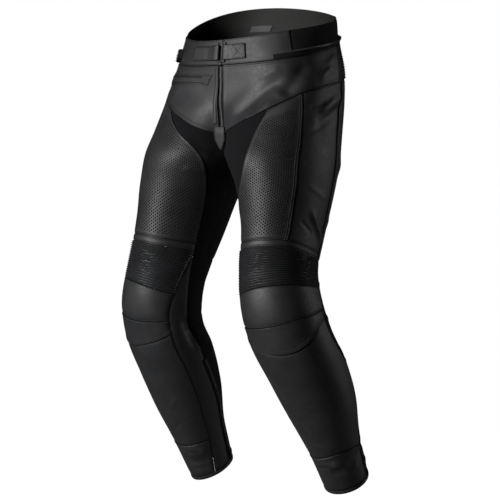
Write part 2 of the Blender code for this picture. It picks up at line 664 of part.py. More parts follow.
def build_fly_tab(mats):
    """The pointed patch that closes the foot of the fly: stiff, so it stays flat across."""
    columns = np.array(FLY_TAB_ROWS, dtype=float).T[:, :, None]
    tab = dict(zip(FLY_TAB_COLUMNS, columns))
    width = tab["half_width"] * np.array([[-1, 0, 1]])
    middle = bare_skin(LEFT, 0.0, tab["down"]) * [0, 1, 1]
    slope = np.gradient(middle[:, 0], axis=0)
    out = np.stack([np.zeros(len(slope)), slope[:, 2], -slope[:, 1]], axis=-1)
    out = (out / np.linalg.norm(out, axis=-1, keepdims=True))[:, None, :]
    across = np.stack([width, np.zeros(width.shape), np.zeros(width.shape)], axis=-1) * MM
    grids = [middle + across + out * (tab["lift"] - depth)[..., None] * MM
             for depth in (0, FLY_TAB_WALL)]
    wall_between("fly_end_tab", *grids, mats["leather"])


# ---------------------------------------------------------------- legs
SEAT_SEAM_END = 266             # where the seat's centre seam turns along the gusset
CALF_TOP = 509
KNEE_LIFT = 0.6                 # the padded knee stands a little out of the skin
HEM_LIFT = 0.7
HEM_INSIDE = -LEATHER_WALL - 0.6
GAP_AT_INSEAM = {"front": 2.2, "back": 1.8}     # wide enough for the seams' tight curves
GAP_BESIDE_GUSSET = 1.6
GAP_AT_CALF = {"leather": 1.0, "stretch": 1.6}
SLIDER_DOWN = 992.0
CALF_ZIP_TOP = 757
CALF_ZIP_FOOT = 1012
CALF_TAPE_HALF = 7.0
TAPE_TOP = 2.6                  # how far the zip tape's face stands off the cloth
SLIDER_COLUMNS = ("place", "half_width", "height")
SLIDER_ROWS = ((-4.5, 2.4, 2.4), (-3.0, 3.4, 3.0), (3.0, 3.4, 3.0), (4.5, 2.6, 2.4))
SLIDER_LIFT = 0.4
LUG_SPAN = (-2.2, 3.0)
LUG_HALF_WIDTH = 0.9
LUG_HEIGHTS = (3.3, 5.3)
PULL_PIVOT = (1.8, 4.4)         # down the zip and out of it, from the slider's middle
PULL_FORK = 1.3                 # half the width of the slot in its fork
PULL_ARM = 2.6                  # half the width over the fork's two arms
PULL_ARM_START = -1.0
PULL_SLOT_END = 1.8
PULL_SHOULDER = 5.0             # down from its pivot, where the plate has its full width
PULL_HALF_WIDTH = 2.8
PULL_HALF_WALL = 0.55
PULL_LENGTH = 17.0
PULL_CORNER = (2.0, 1.2)        # cut off its two lower corners: down it and across it
PULL_TILT = 9.0                 # degrees that the pull leans in to rest on the tape
GUSSET_FRONT_CROWD = 1.13       # these bring one row of each gusset panel to the crotch
GUSSET_BACK_CROWD = 1.055


def build_thigh(side, mats):
    label = SIDE_NAMES[side]
    edge = STRETCH_EDGE[side]

    def seat_edge(down):
        return np.where(down < SEAT_SEAM_END, back_limit(down), GUSSET_BACK(down))

    def gusset_back(down):
        return np.where(back_limit(down) < 360, back_limit(down), INSEAM(down) + 360)

    def gusset_front(down):
        return np.where(front_limit(down) > 0, front_limit(down), INSEAM(down))

    panel(f"inner_thigh_front_{label}", side, (gusset_front, edge, HIP_SEAM, KNEE_BACK_SEAM),
          mats["stretch"], 6, 13, wall=STRETCH_WALL, gap=GAP_AT_INSEAM["front"],
          crowd=GUSSET_FRONT_CROWD)
    panel(f"inner_thigh_back_{label}", side,
          (seat_edge, gusset_back, level(SEAT_GUSSET_DOWN), KNEE_BACK_SEAM),
          mats["stretch"], 4, 10, wall=STRETCH_WALL, gap=GAP_AT_INSEAM["back"],
          crowd=GUSSET_BACK_CROWD)
    panel(f"thigh_front_{label}", side, (edge, THIGH_SEAM, HIP_SEAM, STRIP_TOP),
          mats["leather"], 8, 13, gap=GAP_BESIDE_GUSSET)
    panel(f"thigh_side_{label}", side, (THIGH_SEAM, REAR_SEAM, HIP_SEAM, STRIP_TOP),
          mats["leather"], 4, 14)
    panel(f"seat_thigh_{label}", side, (REAR_SEAM, seat_edge, HIP_SEAM, KNEE_BACK_SEAM),
          mats["leather"], 8, 14)
    panel(f"above_knee_strip_{label}", side, (edge, REAR_SEAM, STRIP_TOP, ACCORDION_TOP),
          mats["leather"], 12, 1)


def build_knee(side, mats):
    label = SIDE_NAMES[side]
    rows = KNEE_RIBS * 2
    panel(f"knee_accordion_{label}", side,
          (KNEE_INNER, KNEE_OUTER, ACCORDION_TOP, ACCORDION_FOOT), mats["rib"], 9, rows,
          wall=STRETCH_WALL, relief=ribs(rows, KNEE_RIBS, KNEE_RIB_HEIGHT), inner_every=4)
    panel(f"knee_cup_{label}", side, (KNEE_INNER, KNEE_OUTER, ACCORDION_FOOT, CUP_SEAM),
          mats["leather"], 12, 3, lift=KNEE_LIFT)
    panel(f"knee_crescent_{label}", side, (KNEE_INNER, KNEE_OUTER, CUP_SEAM, CRESCENT_FOOT),
          mats["leather"], 12, 2, lift=KNEE_LIFT)


def build_lower_leg(side, mats):
    label = SIDE_NAMES[side]
    panel(f"shin_{label}", side, (KNEE_INNER, KNEE_OUTER, CRESCENT_FOOT, ANKLE_SEAM),
          mats["leather"], 12, 11)
    panel(f"ankle_cuff_{label}", side, (KNEE_INNER, KNEE_OUTER, ANKLE_SEAM, CUFF_FOOT),
          mats["leather"], 8, 3)
    panel(f"inner_calf_{label}", side, (ZIP_LINE, KNEE_INNER, level(CALF_TOP), CUFF_FOOT),
          mats["leather"], 2, 20, gap=GAP_AT_CALF["leather"])
    panel(f"calf_stretch_{label}", side,
          (KNEE_OUTER, lambda down: ZIP_LINE(down) + 360, KNEE_BACK_SEAM, CUFF_FOOT),
          mats["stretch"], 9, 20, wall=STRETCH_WALL, gap=GAP_AT_CALF["stretch"])
    turn = np.linspace(0, 360, 21)[None, :-1]
    down = np.array([[HEM_DOWN - HEM_BINDING_HEIGHT + SEAM_GAP / 2], [HEM_DOWN]])
    outer = skin(side, turn, down, HEM_LIFT)
    inner = skin(side, turn, down, HEM_INSIDE)
    wall_between(f"hem_binding_{label}", outer, inner, mats["leather"], side < 0, closed=True)


def build_calf_zip(side, mats):
    """The inner calf's zip: its tape, the slider near the hem and the slider's hanging pull."""
    label = SIDE_NAMES[side]

    def beside_zip(sign):
        return lambda down: ZIP_LINE(down) + sign * degrees_for(CALF_TAPE_HALF, down)

    panel(f"calf_zip_tape_{label}", side,
          (beside_zip(-1), beside_zip(1), level(CALF_ZIP_TOP), level(CALF_ZIP_FOOT)),
          mats["tape"], 2, 11, wall=TAPE_WALL, lift=TAPE_TOP)
    zip_turn = float(ZIP_LINE(SLIDER_DOWN))
    origin, across, along, out = place_on(side, zip_turn, SLIDER_DOWN, TAPE_TOP + SLIDER_LIFT)
    rings = []
    for values in SLIDER_ROWS:
        row = dict(zip(SLIDER_COLUMNS, values))
        rings.append([origin + (along * row["place"] + across * x * row["half_width"]
                                + out * z * row["height"]) * MM
                      for x, z in ((-1, 0), (1, 0), (1, 1), (-1, 1))])
    prism(f"calf_zip_slider_{label}", rings, mats["metal"])
    low, high = LUG_HEIGHTS
    lug = [[origin + (along * place + across * x * LUG_HALF_WIDTH + out * z) * MM
            for x, z in ((-1, low), (1, low), (1, high), (-1, high))]
           for place in LUG_SPAN]
    prism(f"calf_zip_lug_{label}", lug, mats["metal"])
    build_pull(side, label, origin, across, along, out, mats)


def build_pull(side, label, origin, across, along, out, mats):
    """A plate that forks round the slider's lug, hangs from it and rests on the tape."""
    tilt = math.radians(PULL_TILT)
    hang = along * math.cos(tilt) - out * math.sin(tilt)
    face = out * math.cos(tilt) + along * math.sin(tilt)
    pivot = origin + (along * PULL_PIVOT[0] + out * PULL_PIVOT[1]) * MM
    fork, arm, half = PULL_FORK, PULL_ARM, PULL_HALF_WIDTH
    corner_down, corner_across = PULL_CORNER
    right_half = ((PULL_SLOT_END, fork), (PULL_ARM_START, fork), (PULL_ARM_START, arm),
                  (PULL_SHOULDER, half), (PULL_LENGTH - corner_down, half),
                  (PULL_LENGTH, half - corner_across))
    outline = right_half + tuple((down, -x) for down, x in reversed(right_half))
    rings = [[pivot + (hang * down + across * x + face * thick) * MM for down, x in outline]
             for thick in (-PULL_HALF_WALL, PULL_HALF_WALL)]
    obj = prism(f"calf_zip_pull_{label}", rings, mats["metal"])
    hinge = bpy.data.objects.new(f"calf_zip_hinge_{label}", None)
    bpy.context.scene.collection.objects.link(hinge)
    hinge.location = pivot
    obj.parent = hinge
    obj.matrix_parent_inverse = Matrix.Translation(pivot).inverted()


def main():
    clear_scene()
    mats = {
        "leather": plain_material("leather", (0.020, 0.021, 0.024), 0.45),
        "stretch": plain_material("stretch_cloth", (0.010, 0.009, 0.016), 0.85),
        "mesh": plain_material("mesh_elastic", (0.014, 0.014, 0.016), 0.8),
        "rib": plain_material("ribbed_leather", (0.018, 0.019, 0.021), 0.5),
        "lining": plain_material("lining", (0.060, 0.060, 0.055), 0.7),
        "metal": plain_material("dark_metal", (0.10, 0.10, 0.11), 0.35, 1.0),
        "plastic": plain_material("buckle_plastic", (0.02, 0.02, 0.022), 0.4),
        "tape": plain_material("zip_tape", (0.012, 0.012, 0.014), 0.75),
        "label": plain_material("label", (0.55, 0.56, 0.58), 0.5),
    }
    build_waistband(mats)
    build_buckle(mats)
    strap("waist_strap", RIGHT, WAIST_STRAP, *STRAP_SPAN, mats["leather"])
    strap("anchor_tab", LEFT, ANCHOR_TAB, *STRAP_SPAN, mats["leather"])
    build_connection_zip(mats)
    build_hips(mats)
    for side in (LEFT, RIGHT):
        build_thigh(side, mats)
        build_knee(side, mats)
        build_lower_leg(side, mats)
        build_calf_zip(side, mats)


main()
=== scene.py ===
import math

import bpy
import numpy as np
from mathutils import Matrix, Vector


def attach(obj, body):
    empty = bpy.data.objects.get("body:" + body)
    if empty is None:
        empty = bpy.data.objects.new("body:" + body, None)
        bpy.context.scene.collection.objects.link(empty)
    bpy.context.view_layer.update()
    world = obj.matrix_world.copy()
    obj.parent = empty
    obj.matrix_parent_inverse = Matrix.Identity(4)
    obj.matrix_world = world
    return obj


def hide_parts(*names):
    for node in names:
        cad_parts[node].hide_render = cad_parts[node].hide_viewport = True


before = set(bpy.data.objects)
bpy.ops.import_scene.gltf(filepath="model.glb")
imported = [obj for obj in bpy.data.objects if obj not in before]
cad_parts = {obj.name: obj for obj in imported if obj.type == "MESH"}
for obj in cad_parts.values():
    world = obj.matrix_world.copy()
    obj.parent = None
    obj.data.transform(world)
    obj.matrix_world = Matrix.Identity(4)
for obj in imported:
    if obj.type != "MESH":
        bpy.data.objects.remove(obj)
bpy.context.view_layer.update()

# Leather motorcycle trousers, filled out as if worn.  Metres, +Z up, the front faces -Y and
# the wearer's left is +X.  A place on the outside is given by
#     turn   degrees round a leg: 0 inside leg, 90 front, 180 outer side, 270 behind
#     down   millimetres along the garment from the waist edge to the hem

MM = 0.001
BODY = "trousers"
LEFT, RIGHT = 1, -1
SIDE_NAMES = {LEFT: "left", RIGHT: "right"}

# ---------------------------------------------------------------- sizes (mm)
SHELL = 1.3                 # thickness of the leather and cloth shells
CLOTH_STEP = 3.2            # spacing of a shell's points
CLOTH_GAP = 0.3             # between neighbouring pieces of one side
PATCH_GAP = 0.5             # round patches, and round pieces that cross the centre
CENTRE_ROOM = 0.1           # how far a side's own pieces stay off the centre plane
BAND_HEIGHT = 56.0
HEM_DOWN = 1025.0
HEM_BINDING_HEIGHT = 8.0
KNEE_RIBS = 18
KNEE_RIB_HEIGHT = 2.6
YOKE_RIBS = 14
YOKE_RIB_HEIGHT = 2.4
YOKE_EXTRA_HEIGHT = 0.6     # how much higher the worn leather stands than the solid's ribs
FACING_FRONT = 150          # the turns at which the back's facing and lining end
LINING_FRONT = 196
FACING_FOOT = 45
LINING_FOOT = 100
BAND_WALL = 2.8
INSIDE_BAND = -BAND_WALL - 1.4      # lift of the facing and the lining, inside the waistband
INSIDE_FACING = INSIDE_BAND - 1.8   # lift of the label, inside the facing
LABEL_TURNS = (229, 250)
LABEL_DOWNS = (39, 52)
STITCH_ROW = 2.6            # distance of the stitch row nearest a seam

SECTION_COLUMNS = ("down", "across", "behind", "height", "half_width", "front", "back",
                   "pitch", "yaw", "square", "web", "seat", "roll")
SECTIONS = (
    (0, 0, 2, 3, 181, 126, 128, 15, 0, 2.10, 0.00, 0.00, 4.0),       # waist edge
    (55, 25, -8, -52, 159, 119, 126, 15, 0, 2.45, 0.10, 0.10, 3.0),  # foot of the waistband
    (110, 54, -17, -107, 146, 109, 129, 13, 0, 2.50, 0.22, 0.50, 1.5),
    (170, 88, -31, -167, 121, 112, 134, 9, 0, 2.35, 0.25, 0.80, 0),  # hips
    (230, 105, -48, -227, 112, 118, 134, 3, 0, 2.25, 0.30, 0.60, 0),
    (285, 116, -62, -280, 111, 122, 128, -4, 0, 2.15, 0.25, 0.25, 0),  # crotch
    (361, 136, -78, -350, 94, 111, 116, -10, 4, 2.10, 0.20, 0.20, 0),
    (443, 147, -95, -430, 80, 100, 102, -13, 9, 2.10, 0.10, 0.10, 0),
    (527, 157, -117, -510, 78, 88, 88, -10, 12, 2.15, 0.10, 0.10, 0),  # knee accordion
    (604, 171, -122, -585, 83, 86, 82, 5, 13, 2.20, 0.10, 0.10, 0),  # knee cup
    (672, 181, -106, -650, 87, 81, 79, 18, 13, 2.15, 0.10, 0.10, 0),
    (753, 187, -66, -720, 83, 78, 86, 27, 12, 2.10, 0.10, 0.10, 0),  # calf
    (844, 192, -22, -800, 72, 72, 80, 29, 12, 2.10, 0.10, 0.10, 0),
    (932, 194, 15, -880, 55, 58, 64, 31, 10, 2.05, 0.10, 0.10, 0),   # ankle
    (1025, 194, 57, -966, 47, 48, 53, 31, 10, 2.00, 0.10, 0.10, 0),  # hem
)

# Soft ridges (height over 0) and troughs, from one place to another (mm).
FOLD_COLUMNS = ("side", "turn_a", "down_a", "turn_b", "down_b", "width", "height")
FOLDS = (
    (LEFT, 161, 76, 137, 135, 14, -6.0),    # hip, deep diagonal trough
    (LEFT, 70, 179, 145, 90, 12, -4.5),     # hip, long trough and ridge from beside the fly
    (LEFT, 76, 206, 128, 142, 11, 3.5),
    (LEFT, 172, 116, 196, 72, 12, 3.5),
    (RIGHT, 84, 196, 140, 110, 15, 1.5),
    (LEFT, 211, 159, 174, 184, 12, 4.0),    # outer thigh, just under the hip panel
    (LEFT, 170, 214, 208, 182, 13, -3.5),
    (RIGHT, 168, 196, 206, 158, 13, -3.5),
    (LEFT, 166, 405, 206, 470, 10, 4.5),    # outer thigh, above the knee
    (RIGHT, 168, 400, 204, 468, 10, 4.0),
    (RIGHT, 46, 282, 2, 298, 11, 4.0),      # stretch cloth under the fly
    (RIGHT, 64, 243, 28, 284, 11, -3.5),
    (LEFT, 50, 276, 4, 298, 11, 3.5),
    (RIGHT, 58, 322, 32, 325, 9, 2.5),
    (RIGHT, -8, 690, -40, 755, 13, 6.5),    # behind the bent knees
    (RIGHT, 2, 640, -8, 716, 13, -5.5),
    (LEFT, -8, 690, -40, 755, 13, 6.0),
    (LEFT, 2, 640, -8, 716, 13, -5.0),
    (LEFT, 218, 640, 262, 668, 13, 5.0),
    (RIGHT, 222, 636, 268, 660, 13, 5.0),
    (LEFT, 216, 700, 256, 716, 12, -4.0),
    (RIGHT, 214, 706, 258, 720, 12, -4.0),
    (LEFT, 230, 545, 300, 560, 14, -4.5),
    (RIGHT, 226, 550, 304, 562, 14, -4.5),
    (LEFT, 222, 285, 300, 345, 16, 4.0),    # under the seat
    (RIGHT, 224, 290, 302, 340, 16, 4.0),
    (LEFT, 60, 944, 150, 962, 9, 3.5),      # ankle creases
    (LEFT, 96, 972, 186, 952, 9, -3.0),
    (RIGHT, 30, 960, 104, 946, 9, 3.5),
    (RIGHT, 34, 984, 96, 972, 9, -3.0),
)
# Finer creases of the leather and cloth, too small for the solids.
CREASES = (
    (LEFT, 176, 96, 196, 84, 6, -1.5),
    (LEFT, 118, 92, 140, 74, 7, 1.2),
    (LEFT, 160, 168, 180, 164, 5, -1.6),
    (LEFT, 172, 184, 194, 160, 5, 1.4),
    (LEFT, 150, 232, 176, 214, 6, -1.2),
    (LEFT, 152, 296, 186, 276, 6, -1.0),
    (LEFT, 160, 352, 196, 372, 6, 1.0),
    (LEFT, 148, 430, 172, 452, 5, -1.4),
    (LEFT, 182, 436, 205, 458, 5, 1.3),
    (RIGHT, 30, 250, 8, 274, 5, -1.6),
    (RIGHT, 50, 262, 24, 276, 5, 1.6),
    (RIGHT, 20, 300, -4, 318, 6, 1.6),
    (RIGHT, 12, 330, -12, 352, 6, -1.3),
    (LEFT, 40, 256, 14, 280, 5, -1.6),
    (LEFT, 24, 302, -2, 322, 6, 1.5),
    (LEFT, 68, 816, 82, 830, 5, 1.4),
    (LEFT, 74, 840, 86, 874, 5, -1.3),
    (LEFT, 110, 790, 140, 812, 6, -1.0),
    (LEFT, 96, 900, 120, 918, 5, 1.2),
    (RIGHT, 52, 812, 70, 836, 5, 1.2),
    (RIGHT, 60, 872, 84, 892, 5, -1.2),
    (LEFT, 60, 962, 100, 954, 5, -2.4),
    (LEFT, 110, 944, 142, 974, 6, 2.4),
    (LEFT, 130, 984, 170, 976, 5, 1.8),
    (RIGHT, 84, 950, 34, 990, 6, 2.2),
    (RIGHT, 46, 958, 82, 950, 5, -2.4),
    (RIGHT, 40, 1000, 84, 992, 5, -1.6),
    (LEFT, 210, 950, 262, 970, 6, -2.0),
    (RIGHT, 212, 956, 258, 974, 6, -2.0),
    (LEFT, 200, 986, 250, 996, 6, 1.6),
    (RIGHT, 204, 982, 248, 992, 6, 1.6),
    (RIGHT, -24, 664, 2, 676, 5, -1.6),
    (RIGHT, -30, 706, -6, 728, 5, 1.5),
    (LEFT, -24, 664, 2, 676, 5, -1.6),
    (LEFT, -30, 706, -6, 728, 5, 1.5),
    (LEFT, 214, 556, 250, 540, 6, 1.8),
    (RIGHT, 216, 560, 248, 546, 6, 1.8),
    (LEFT, 226, 604, 300, 622, 7, 2.4),
    (RIGHT, 228, 600, 304, 616, 7, 2.4),
    (LEFT, 240, 640, 320, 652, 7, -2.2),
    (RIGHT, 236, 646, 316, 650, 7, -2.2),
    (LEFT, 220, 760, 252, 780, 7, 1.5),
    (RIGHT, 218, 764, 250, 786, 7, 1.5),
    (LEFT, 236, 300, 282, 322, 7, -1.6),
    (RIGHT, 238, 304, 284, 320, 7, -1.6),
    (LEFT, 250, 228, 300, 262, 8, 1.6),
    (RIGHT, 252, 232, 298, 258, 8, 1.6),
    (LEFT, 212, 400, 260, 430, 7, 1.2),
    (RIGHT, 214, 396, 258, 424, 7, 1.2),
)


# ---------------------------------------------------------------- seams
def smooth_curve(*points):
    """A smooth curve through (key, value or row of values) points, level beyond its two ends."""
    keys = np.array([p[0] for p in points], dtype=float)
    values = np.array([p[1] for p in points], dtype=float)
    slopes = np.gradient(values, keys, axis=0)

    def curve(key):
        key = np.clip(np.asarray(key, dtype=float), keys[0], keys[-1])
        i = np.clip(np.searchsorted(keys, key) - 1, 0, len(keys) - 2)
        step = keys[i + 1] - keys[i]
        t = (key - keys[i]) / step
        if values.ndim > 1:
            step, t = step[..., None], t[..., None]
        return (values[i] * (2 * t**3 - 3 * t**2 + 1) + slopes[i] * step * (t**3 - 2 * t**2 + t)
                + values[i + 1] * (3 * t**2 - 2 * t**3) + slopes[i + 1] * step * (t**3 - t**2))
    return curve


def level(value):
    """A seam that keeps one turn or one distance down."""
    return lambda key: np.full(np.shape(key), float(value))


def both(seam):
    """The same seam on the left and the right."""
    return {LEFT: seam, RIGHT: seam}


# Cross seams, turn -> down.
BAND_FOOT = level(BAND_HEIGHT)
HIP_SEAM = smooth_curve((24, 238), (34, 231), (50, 221), (67, 207), (80, 195), (92, 184),
                        (106, 173), (120, 160), (134, 148), (154, 134), (170, 130), (210, 132),
                        (300, 138))
STRIP_TOP = smooth_curve((-10, 480), (20, 481), (45, 482), (67, 483), (91, 479), (110, 477),
                         (130, 476), (156, 481), (205, 486))
ACCORDION_TOP = smooth_curve((-5, 500), (12, 499), (42, 498), (65, 498), (91, 494), (109, 492),
                             (131, 490), (157, 493), (200, 498), (210, 499))
ACCORDION_FOOT = smooth_curve((10, 590), (50, 577), (94, 565), (125, 560), (200, 562))
CUP_SEAM = smooth_curve((20, 641), (52, 637), (95, 630), (120, 624), (200, 611))
CRESCENT_FOOT = smooth_curve((20, 664), (43, 673), (70, 678), (92, 681), (130, 673), (155, 655),
                             (172, 637), (200, 633))
ANKLE_SEAM = smooth_curve((15, 941), (85, 934), (133, 928), (200, 944))
KNEE_BACK_SEAM = level(499)
CUFF_FOOT = level(HEM_DOWN - HEM_BINDING_HEIGHT)
SEAT_GUSSET_DOWN = 268.0
SEAT_SEAM_END = 266             # where the seat's centre seam turns along the gusset
INNER_CALF_TOP = level(509)
POCKET_TOP = smooth_curve((86, 82), (120, 80), (154, 91))
POCKET_FOOT = smooth_curve((86, 100), (111, 97), (133, 99), (154, 109))

# Long seams, down -> turn.
STRETCH_EDGE = {
    RIGHT: smooth_curve((168, 113), (200, 95), (233, 75), (270, 55), (300, 42), (330, 31),
                        (369, 19), (410, 11), (455, 5), (500, 0)),
    LEFT: smooth_curve((166, 116), (190, 108), (229, 100), (281, 94), (306, 89), (328, 82),
                       (343, 77), (360, 70), (385, 59), (415, 45), (450, 27), (480, 11), (500, 0)),
}
THIGH_SEAM = smooth_curve((128, 154), (171, 152), (265, 150), (340, 144), (410, 136), (485, 129))
REAR_SEAM = smooth_curve((125, 205), (260, 208), (400, 207), (500, 203))
INSEAM = smooth_curve((290, 0), (310, -6), (345, -16), (400, -23), (500, -25))
GUSSET_BACK = smooth_curve((266, 322), (300, 312), (340, 305), (400, 301), (500, 300))
KNEE_INNER = smooth_curve((498, 0), (512, 3), (545, 10), (588, 19), (627, 26), (665, 26),
                          (722, 24), (790, 20), (885, 18), (935, 17), (980, 22), (1025, 30))
KNEE_OUTER = smooth_curve((498, 203), (560, 199), (605, 198), (632, 190), (680, 192), (724, 199),
                          (787, 210), (850, 208), (900, 203), (940, 196), (1025, 190))
ZIP_LINE = smooth_curve((506, -1), (528, -2), (595, -5), (648, -4), (700, -10), (761, -14),
                        (829, -22), (897, -32), (950, -34), (1025, -30))
YOKE_FRONT = level(199)
BAND_LEATHER_END = level(152)
BAND_STRETCH_END = level(214)


# ---------------------------------------------------------------- the skin
section_curve = smooth_curve(*((row[0], row) for row in SECTIONS))
TINY = 1e-9
LEAST_FILL = 1e-6           # keeps the web and the seat from vanishing where the halves part


def section_at(down):
    """The sizes of the section that far down, by the names of their columns."""
    row = section_curve(down)
    return {name: row[..., k] for k, name in enumerate(SECTION_COLUMNS)}


def unit(vectors):
    """The same directions, each of length 1."""
    return vectors / np.maximum(np.linalg.norm(vectors, axis=-1, keepdims=True), 1e-12)


def reach_at_centre(c, fill):
    """How far before or behind its middle the section meets the centre, against its depth there."""
    power = c["square"]
    room = (1 + fill / 4)**power - (c["across"] / c["half_width"])**power
    return np.maximum(room, 0)**(1 / power)


def limits(down):
    """The turns of the centre front and the centre back; 0 and 360 below the crotch."""
    c = section_at(down)
    ahead = reach_at_centre(c, np.maximum(c["web"], LEAST_FILL))
    behind = reach_at_centre(c, np.maximum(c["seat"], LEAST_FILL))
    joined = (ahead > 0) & (behind > 0)
    front = 180 - np.degrees(np.arctan2(ahead * c["front"], -c["across"] - TINY))
    back = 180 + np.degrees(np.arctan2(behind * c["back"], -c["across"] - TINY))
    return np.where(joined, front, 0), np.where(joined, back, 360)


def front_limit(down):
    return limits(down)[0]


def back_limit(down):
    return limits(down)[1]


def gauge(x, y, c):
    """1 on the section's outline, less inside it and more outside it."""
    depth = np.where(y < 0, c["front"], c["back"])
    power = c["square"]
    return (np.abs(x / c["half_width"])**power + np.abs(y / depth)**power + 1e-12)**(1 / power)


SEARCH_FROM, SEARCH_TO = 0.3, 1.6       # where the skin is looked for, against the outline
SEARCH_STEPS = 26
ROLL_DEPTH = 250.0                      # mm over which the waist's roll turns over, front to back


def bare_skin(side, turn, down):
    """Points of the skin without folds, in metres."""
    turn, down = np.broadcast_arrays(np.asarray(turn, float), np.asarray(down, float))
    c = section_at(down)
    front, back = limits(down)
    bounded = np.where(front > 0, np.clip(turn, front, back), turn)
    angle = np.radians(bounded) - math.pi
    cos, sin = np.cos(angle), np.sin(angle)
    across = np.maximum(c["across"], 0)
    web = np.maximum(np.where(sin < 0, c["web"], c["seat"]), LEAST_FILL)
    outline = gauge(cos, sin, c)
    low, high = SEARCH_FROM / outline, SEARCH_TO / outline
    to_middle = across / np.maximum(-cos, TINY) + 1e-6
    high = np.where(cos < -TINY, np.minimum(high, to_middle), high)
    for _ in range(SEARCH_STEPS):
        reach = (low + high) / 2
        near = gauge(reach * cos, reach * sin, c)
        far = gauge(2 * across + reach * cos, reach * sin, c)
        overlap = np.maximum(web - np.abs(near - far), 0)
        inside = np.minimum(near, far) - overlap**2 / (4 * web) < 1
        low = np.where(inside, reach, low)
        high = np.where(inside, high, reach)
    x, y = low * cos, low * sin
    yaw, pitch = np.radians(c["yaw"]), np.radians(c["pitch"])
    flat_y = y * np.cos(pitch)
    world_x = side * (across + x * np.cos(yaw) - flat_y * np.sin(yaw))
    world_y = c["behind"] + x * np.sin(yaw) + flat_y * np.cos(yaw)
    ahead = np.clip(0.5 - y / ROLL_DEPTH, 0, 1)**1.5
    astern = np.clip(0.5 + y / ROLL_DEPTH, 0, 1)**1.5
    lift = world_x * (ahead - astern) * np.sin(np.radians(c["roll"]))
    world_z = c["height"] + y * np.sin(pitch) + lift
    return np.stack([world_x, world_y, world_z], axis=-1) * MM


def outward(side, turn, down):
    """Unit vectors out of the skin, read from above it over the crotch and at the hem."""
    turn, down = np.broadcast_arrays(np.asarray(turn, float), np.asarray(down, float))
    front, back = limits(down)
    merged = front > 0
    turn = np.where(merged, np.clip(turn, front + 0.6, back - 0.6), turn)
    upper = np.where(merged | (down > HEM_DOWN - 4), down - 2, down)
    round_step = bare_skin(side, turn + 0.5, down) - bare_skin(side, turn - 0.5, down)
    down_step = bare_skin(side, turn, upper + 2) - bare_skin(side, turn, upper)
    return unit(np.cross(down_step, round_step) * side)


FOLD_RUN_OUT = 0.3          # the part of a fold's length over which each end fades


def fold_height(side, turn, down):
    """How far the folds stand out of the skin, in mm."""
    total = np.zeros(np.broadcast(turn, down).shape)
    section = section_at(down)
    per_degree = (section["half_width"] + section["front"]) / 2 * math.pi / 180
    for row in FOLDS + CREASES:
        fold = dict(zip(FOLD_COLUMNS, row))
        if fold["side"] != side:
            continue
        along_turn = (fold["turn_b"] - fold["turn_a"]) * per_degree
        along_down = fold["down_b"] - fold["down_a"]
        length = np.hypot(along_turn, along_down)
        east = ((np.asarray(turn) - fold["turn_a"] + 180) % 360 - 180) * per_degree
        south = np.asarray(down) - fold["down_a"]
        part = (east * along_turn + south * along_down) / length**2
        off = (east * along_down - south * along_turn) / length
        fade = np.clip(np.minimum(part + 0.1, 1.1 - part) / FOLD_RUN_OUT, 0, 1)
        fade = fade * fade * (3 - 2 * fade)
        total = total + fold["height"] * fade * np.exp(-(off / fold["width"])**2)
    return total


RIPPLE_LENGTHS = (34, 120)
RIPPLE_HEIGHT = 0.09
ripple_random = np.random.default_rng(11)
RIPPLES = [(ripple_random.normal(size=3), ripple_random.uniform(*RIPPLE_LENGTHS),
            ripple_random.uniform(0, 6.28)) for _ in range(14)]


def ripple(points):
    """A slight unevenness of the leather, in mm, about 0.3 either way."""
    total = np.zeros(points.shape[:-1])
    for heading, wavelength, phase in RIPPLES:
        heading = heading / np.linalg.norm(heading)
        wave = np.sin(points @ heading / MM * 2 * math.pi / wavelength + phase)
        total += wave * wavelength / RIPPLE_LENGTHS[1]
    return total * RIPPLE_HEIGHT


def skin(side, turn, down, lift=0.0):
    """Points of the folded skin, moved out of it by lift (mm)."""
    turn, down = np.broadcast_arrays(np.asarray(turn, float), np.asarray(down, float))
    out = outward(side, turn, down)
    bare = bare_skin(side, turn, down)
    height = fold_height(side, turn, down) + ripple(bare) + lift
    return bare + out * height[..., None] * MM


def degrees_for(length, down):
    """The turn that spans a length (mm) round the leg."""
    section = section_at(down)
    return np.degrees(length / ((section["half_width"] + section["front"]) / 2))


def from_centre(length):
    """A seam that keeps a distance (mm) from the centre front."""
    return lambda down: front_limit(down) + degrees_for(length, down)


def by_column(names, rows):
    """A table's columns as arrays, by their names."""
    return dict(zip(names, np.array(rows, dtype=float).T))


# ---------------------------------------------------------------- panels of cloth
class Panel:
    """The worked-out points of one cut piece: a grid of rows down and columns round."""

    def __init__(self, side, turn, down, base, normal):
        self.side, self.turn, self.down = side, turn, down
        self.base, self.normal = base, normal
        self.outer = base
        self.right_half = None      # the columns on the wearer's right, where a piece has both
        self.folded = True

    def distances(self):
        """Distances (mm) of every point to the west, east, north and south edges."""
        round_steps = np.linalg.norm(np.diff(self.base, axis=1), axis=-1) / MM
        down_steps = np.linalg.norm(np.diff(self.base, axis=0), axis=-1) / MM
        west = np.pad(np.cumsum(round_steps, axis=1), ((0, 0), (1, 0)))
        north = np.pad(np.cumsum(down_steps, axis=0), ((1, 0), (0, 0)))
        return {"w": west, "e": west[:, -1:] - west, "n": north, "s": north[-1:] - north}


def grid_normals(points, side):
    return unit(np.cross(np.gradient(points, axis=0), np.gradient(points, axis=1)) * side)


EDGE_STEPS = (0.0, 0.5, 1.1, 1.8, 2.6, 3.4, 5.0)     # mm from a seam, where the points stand closer


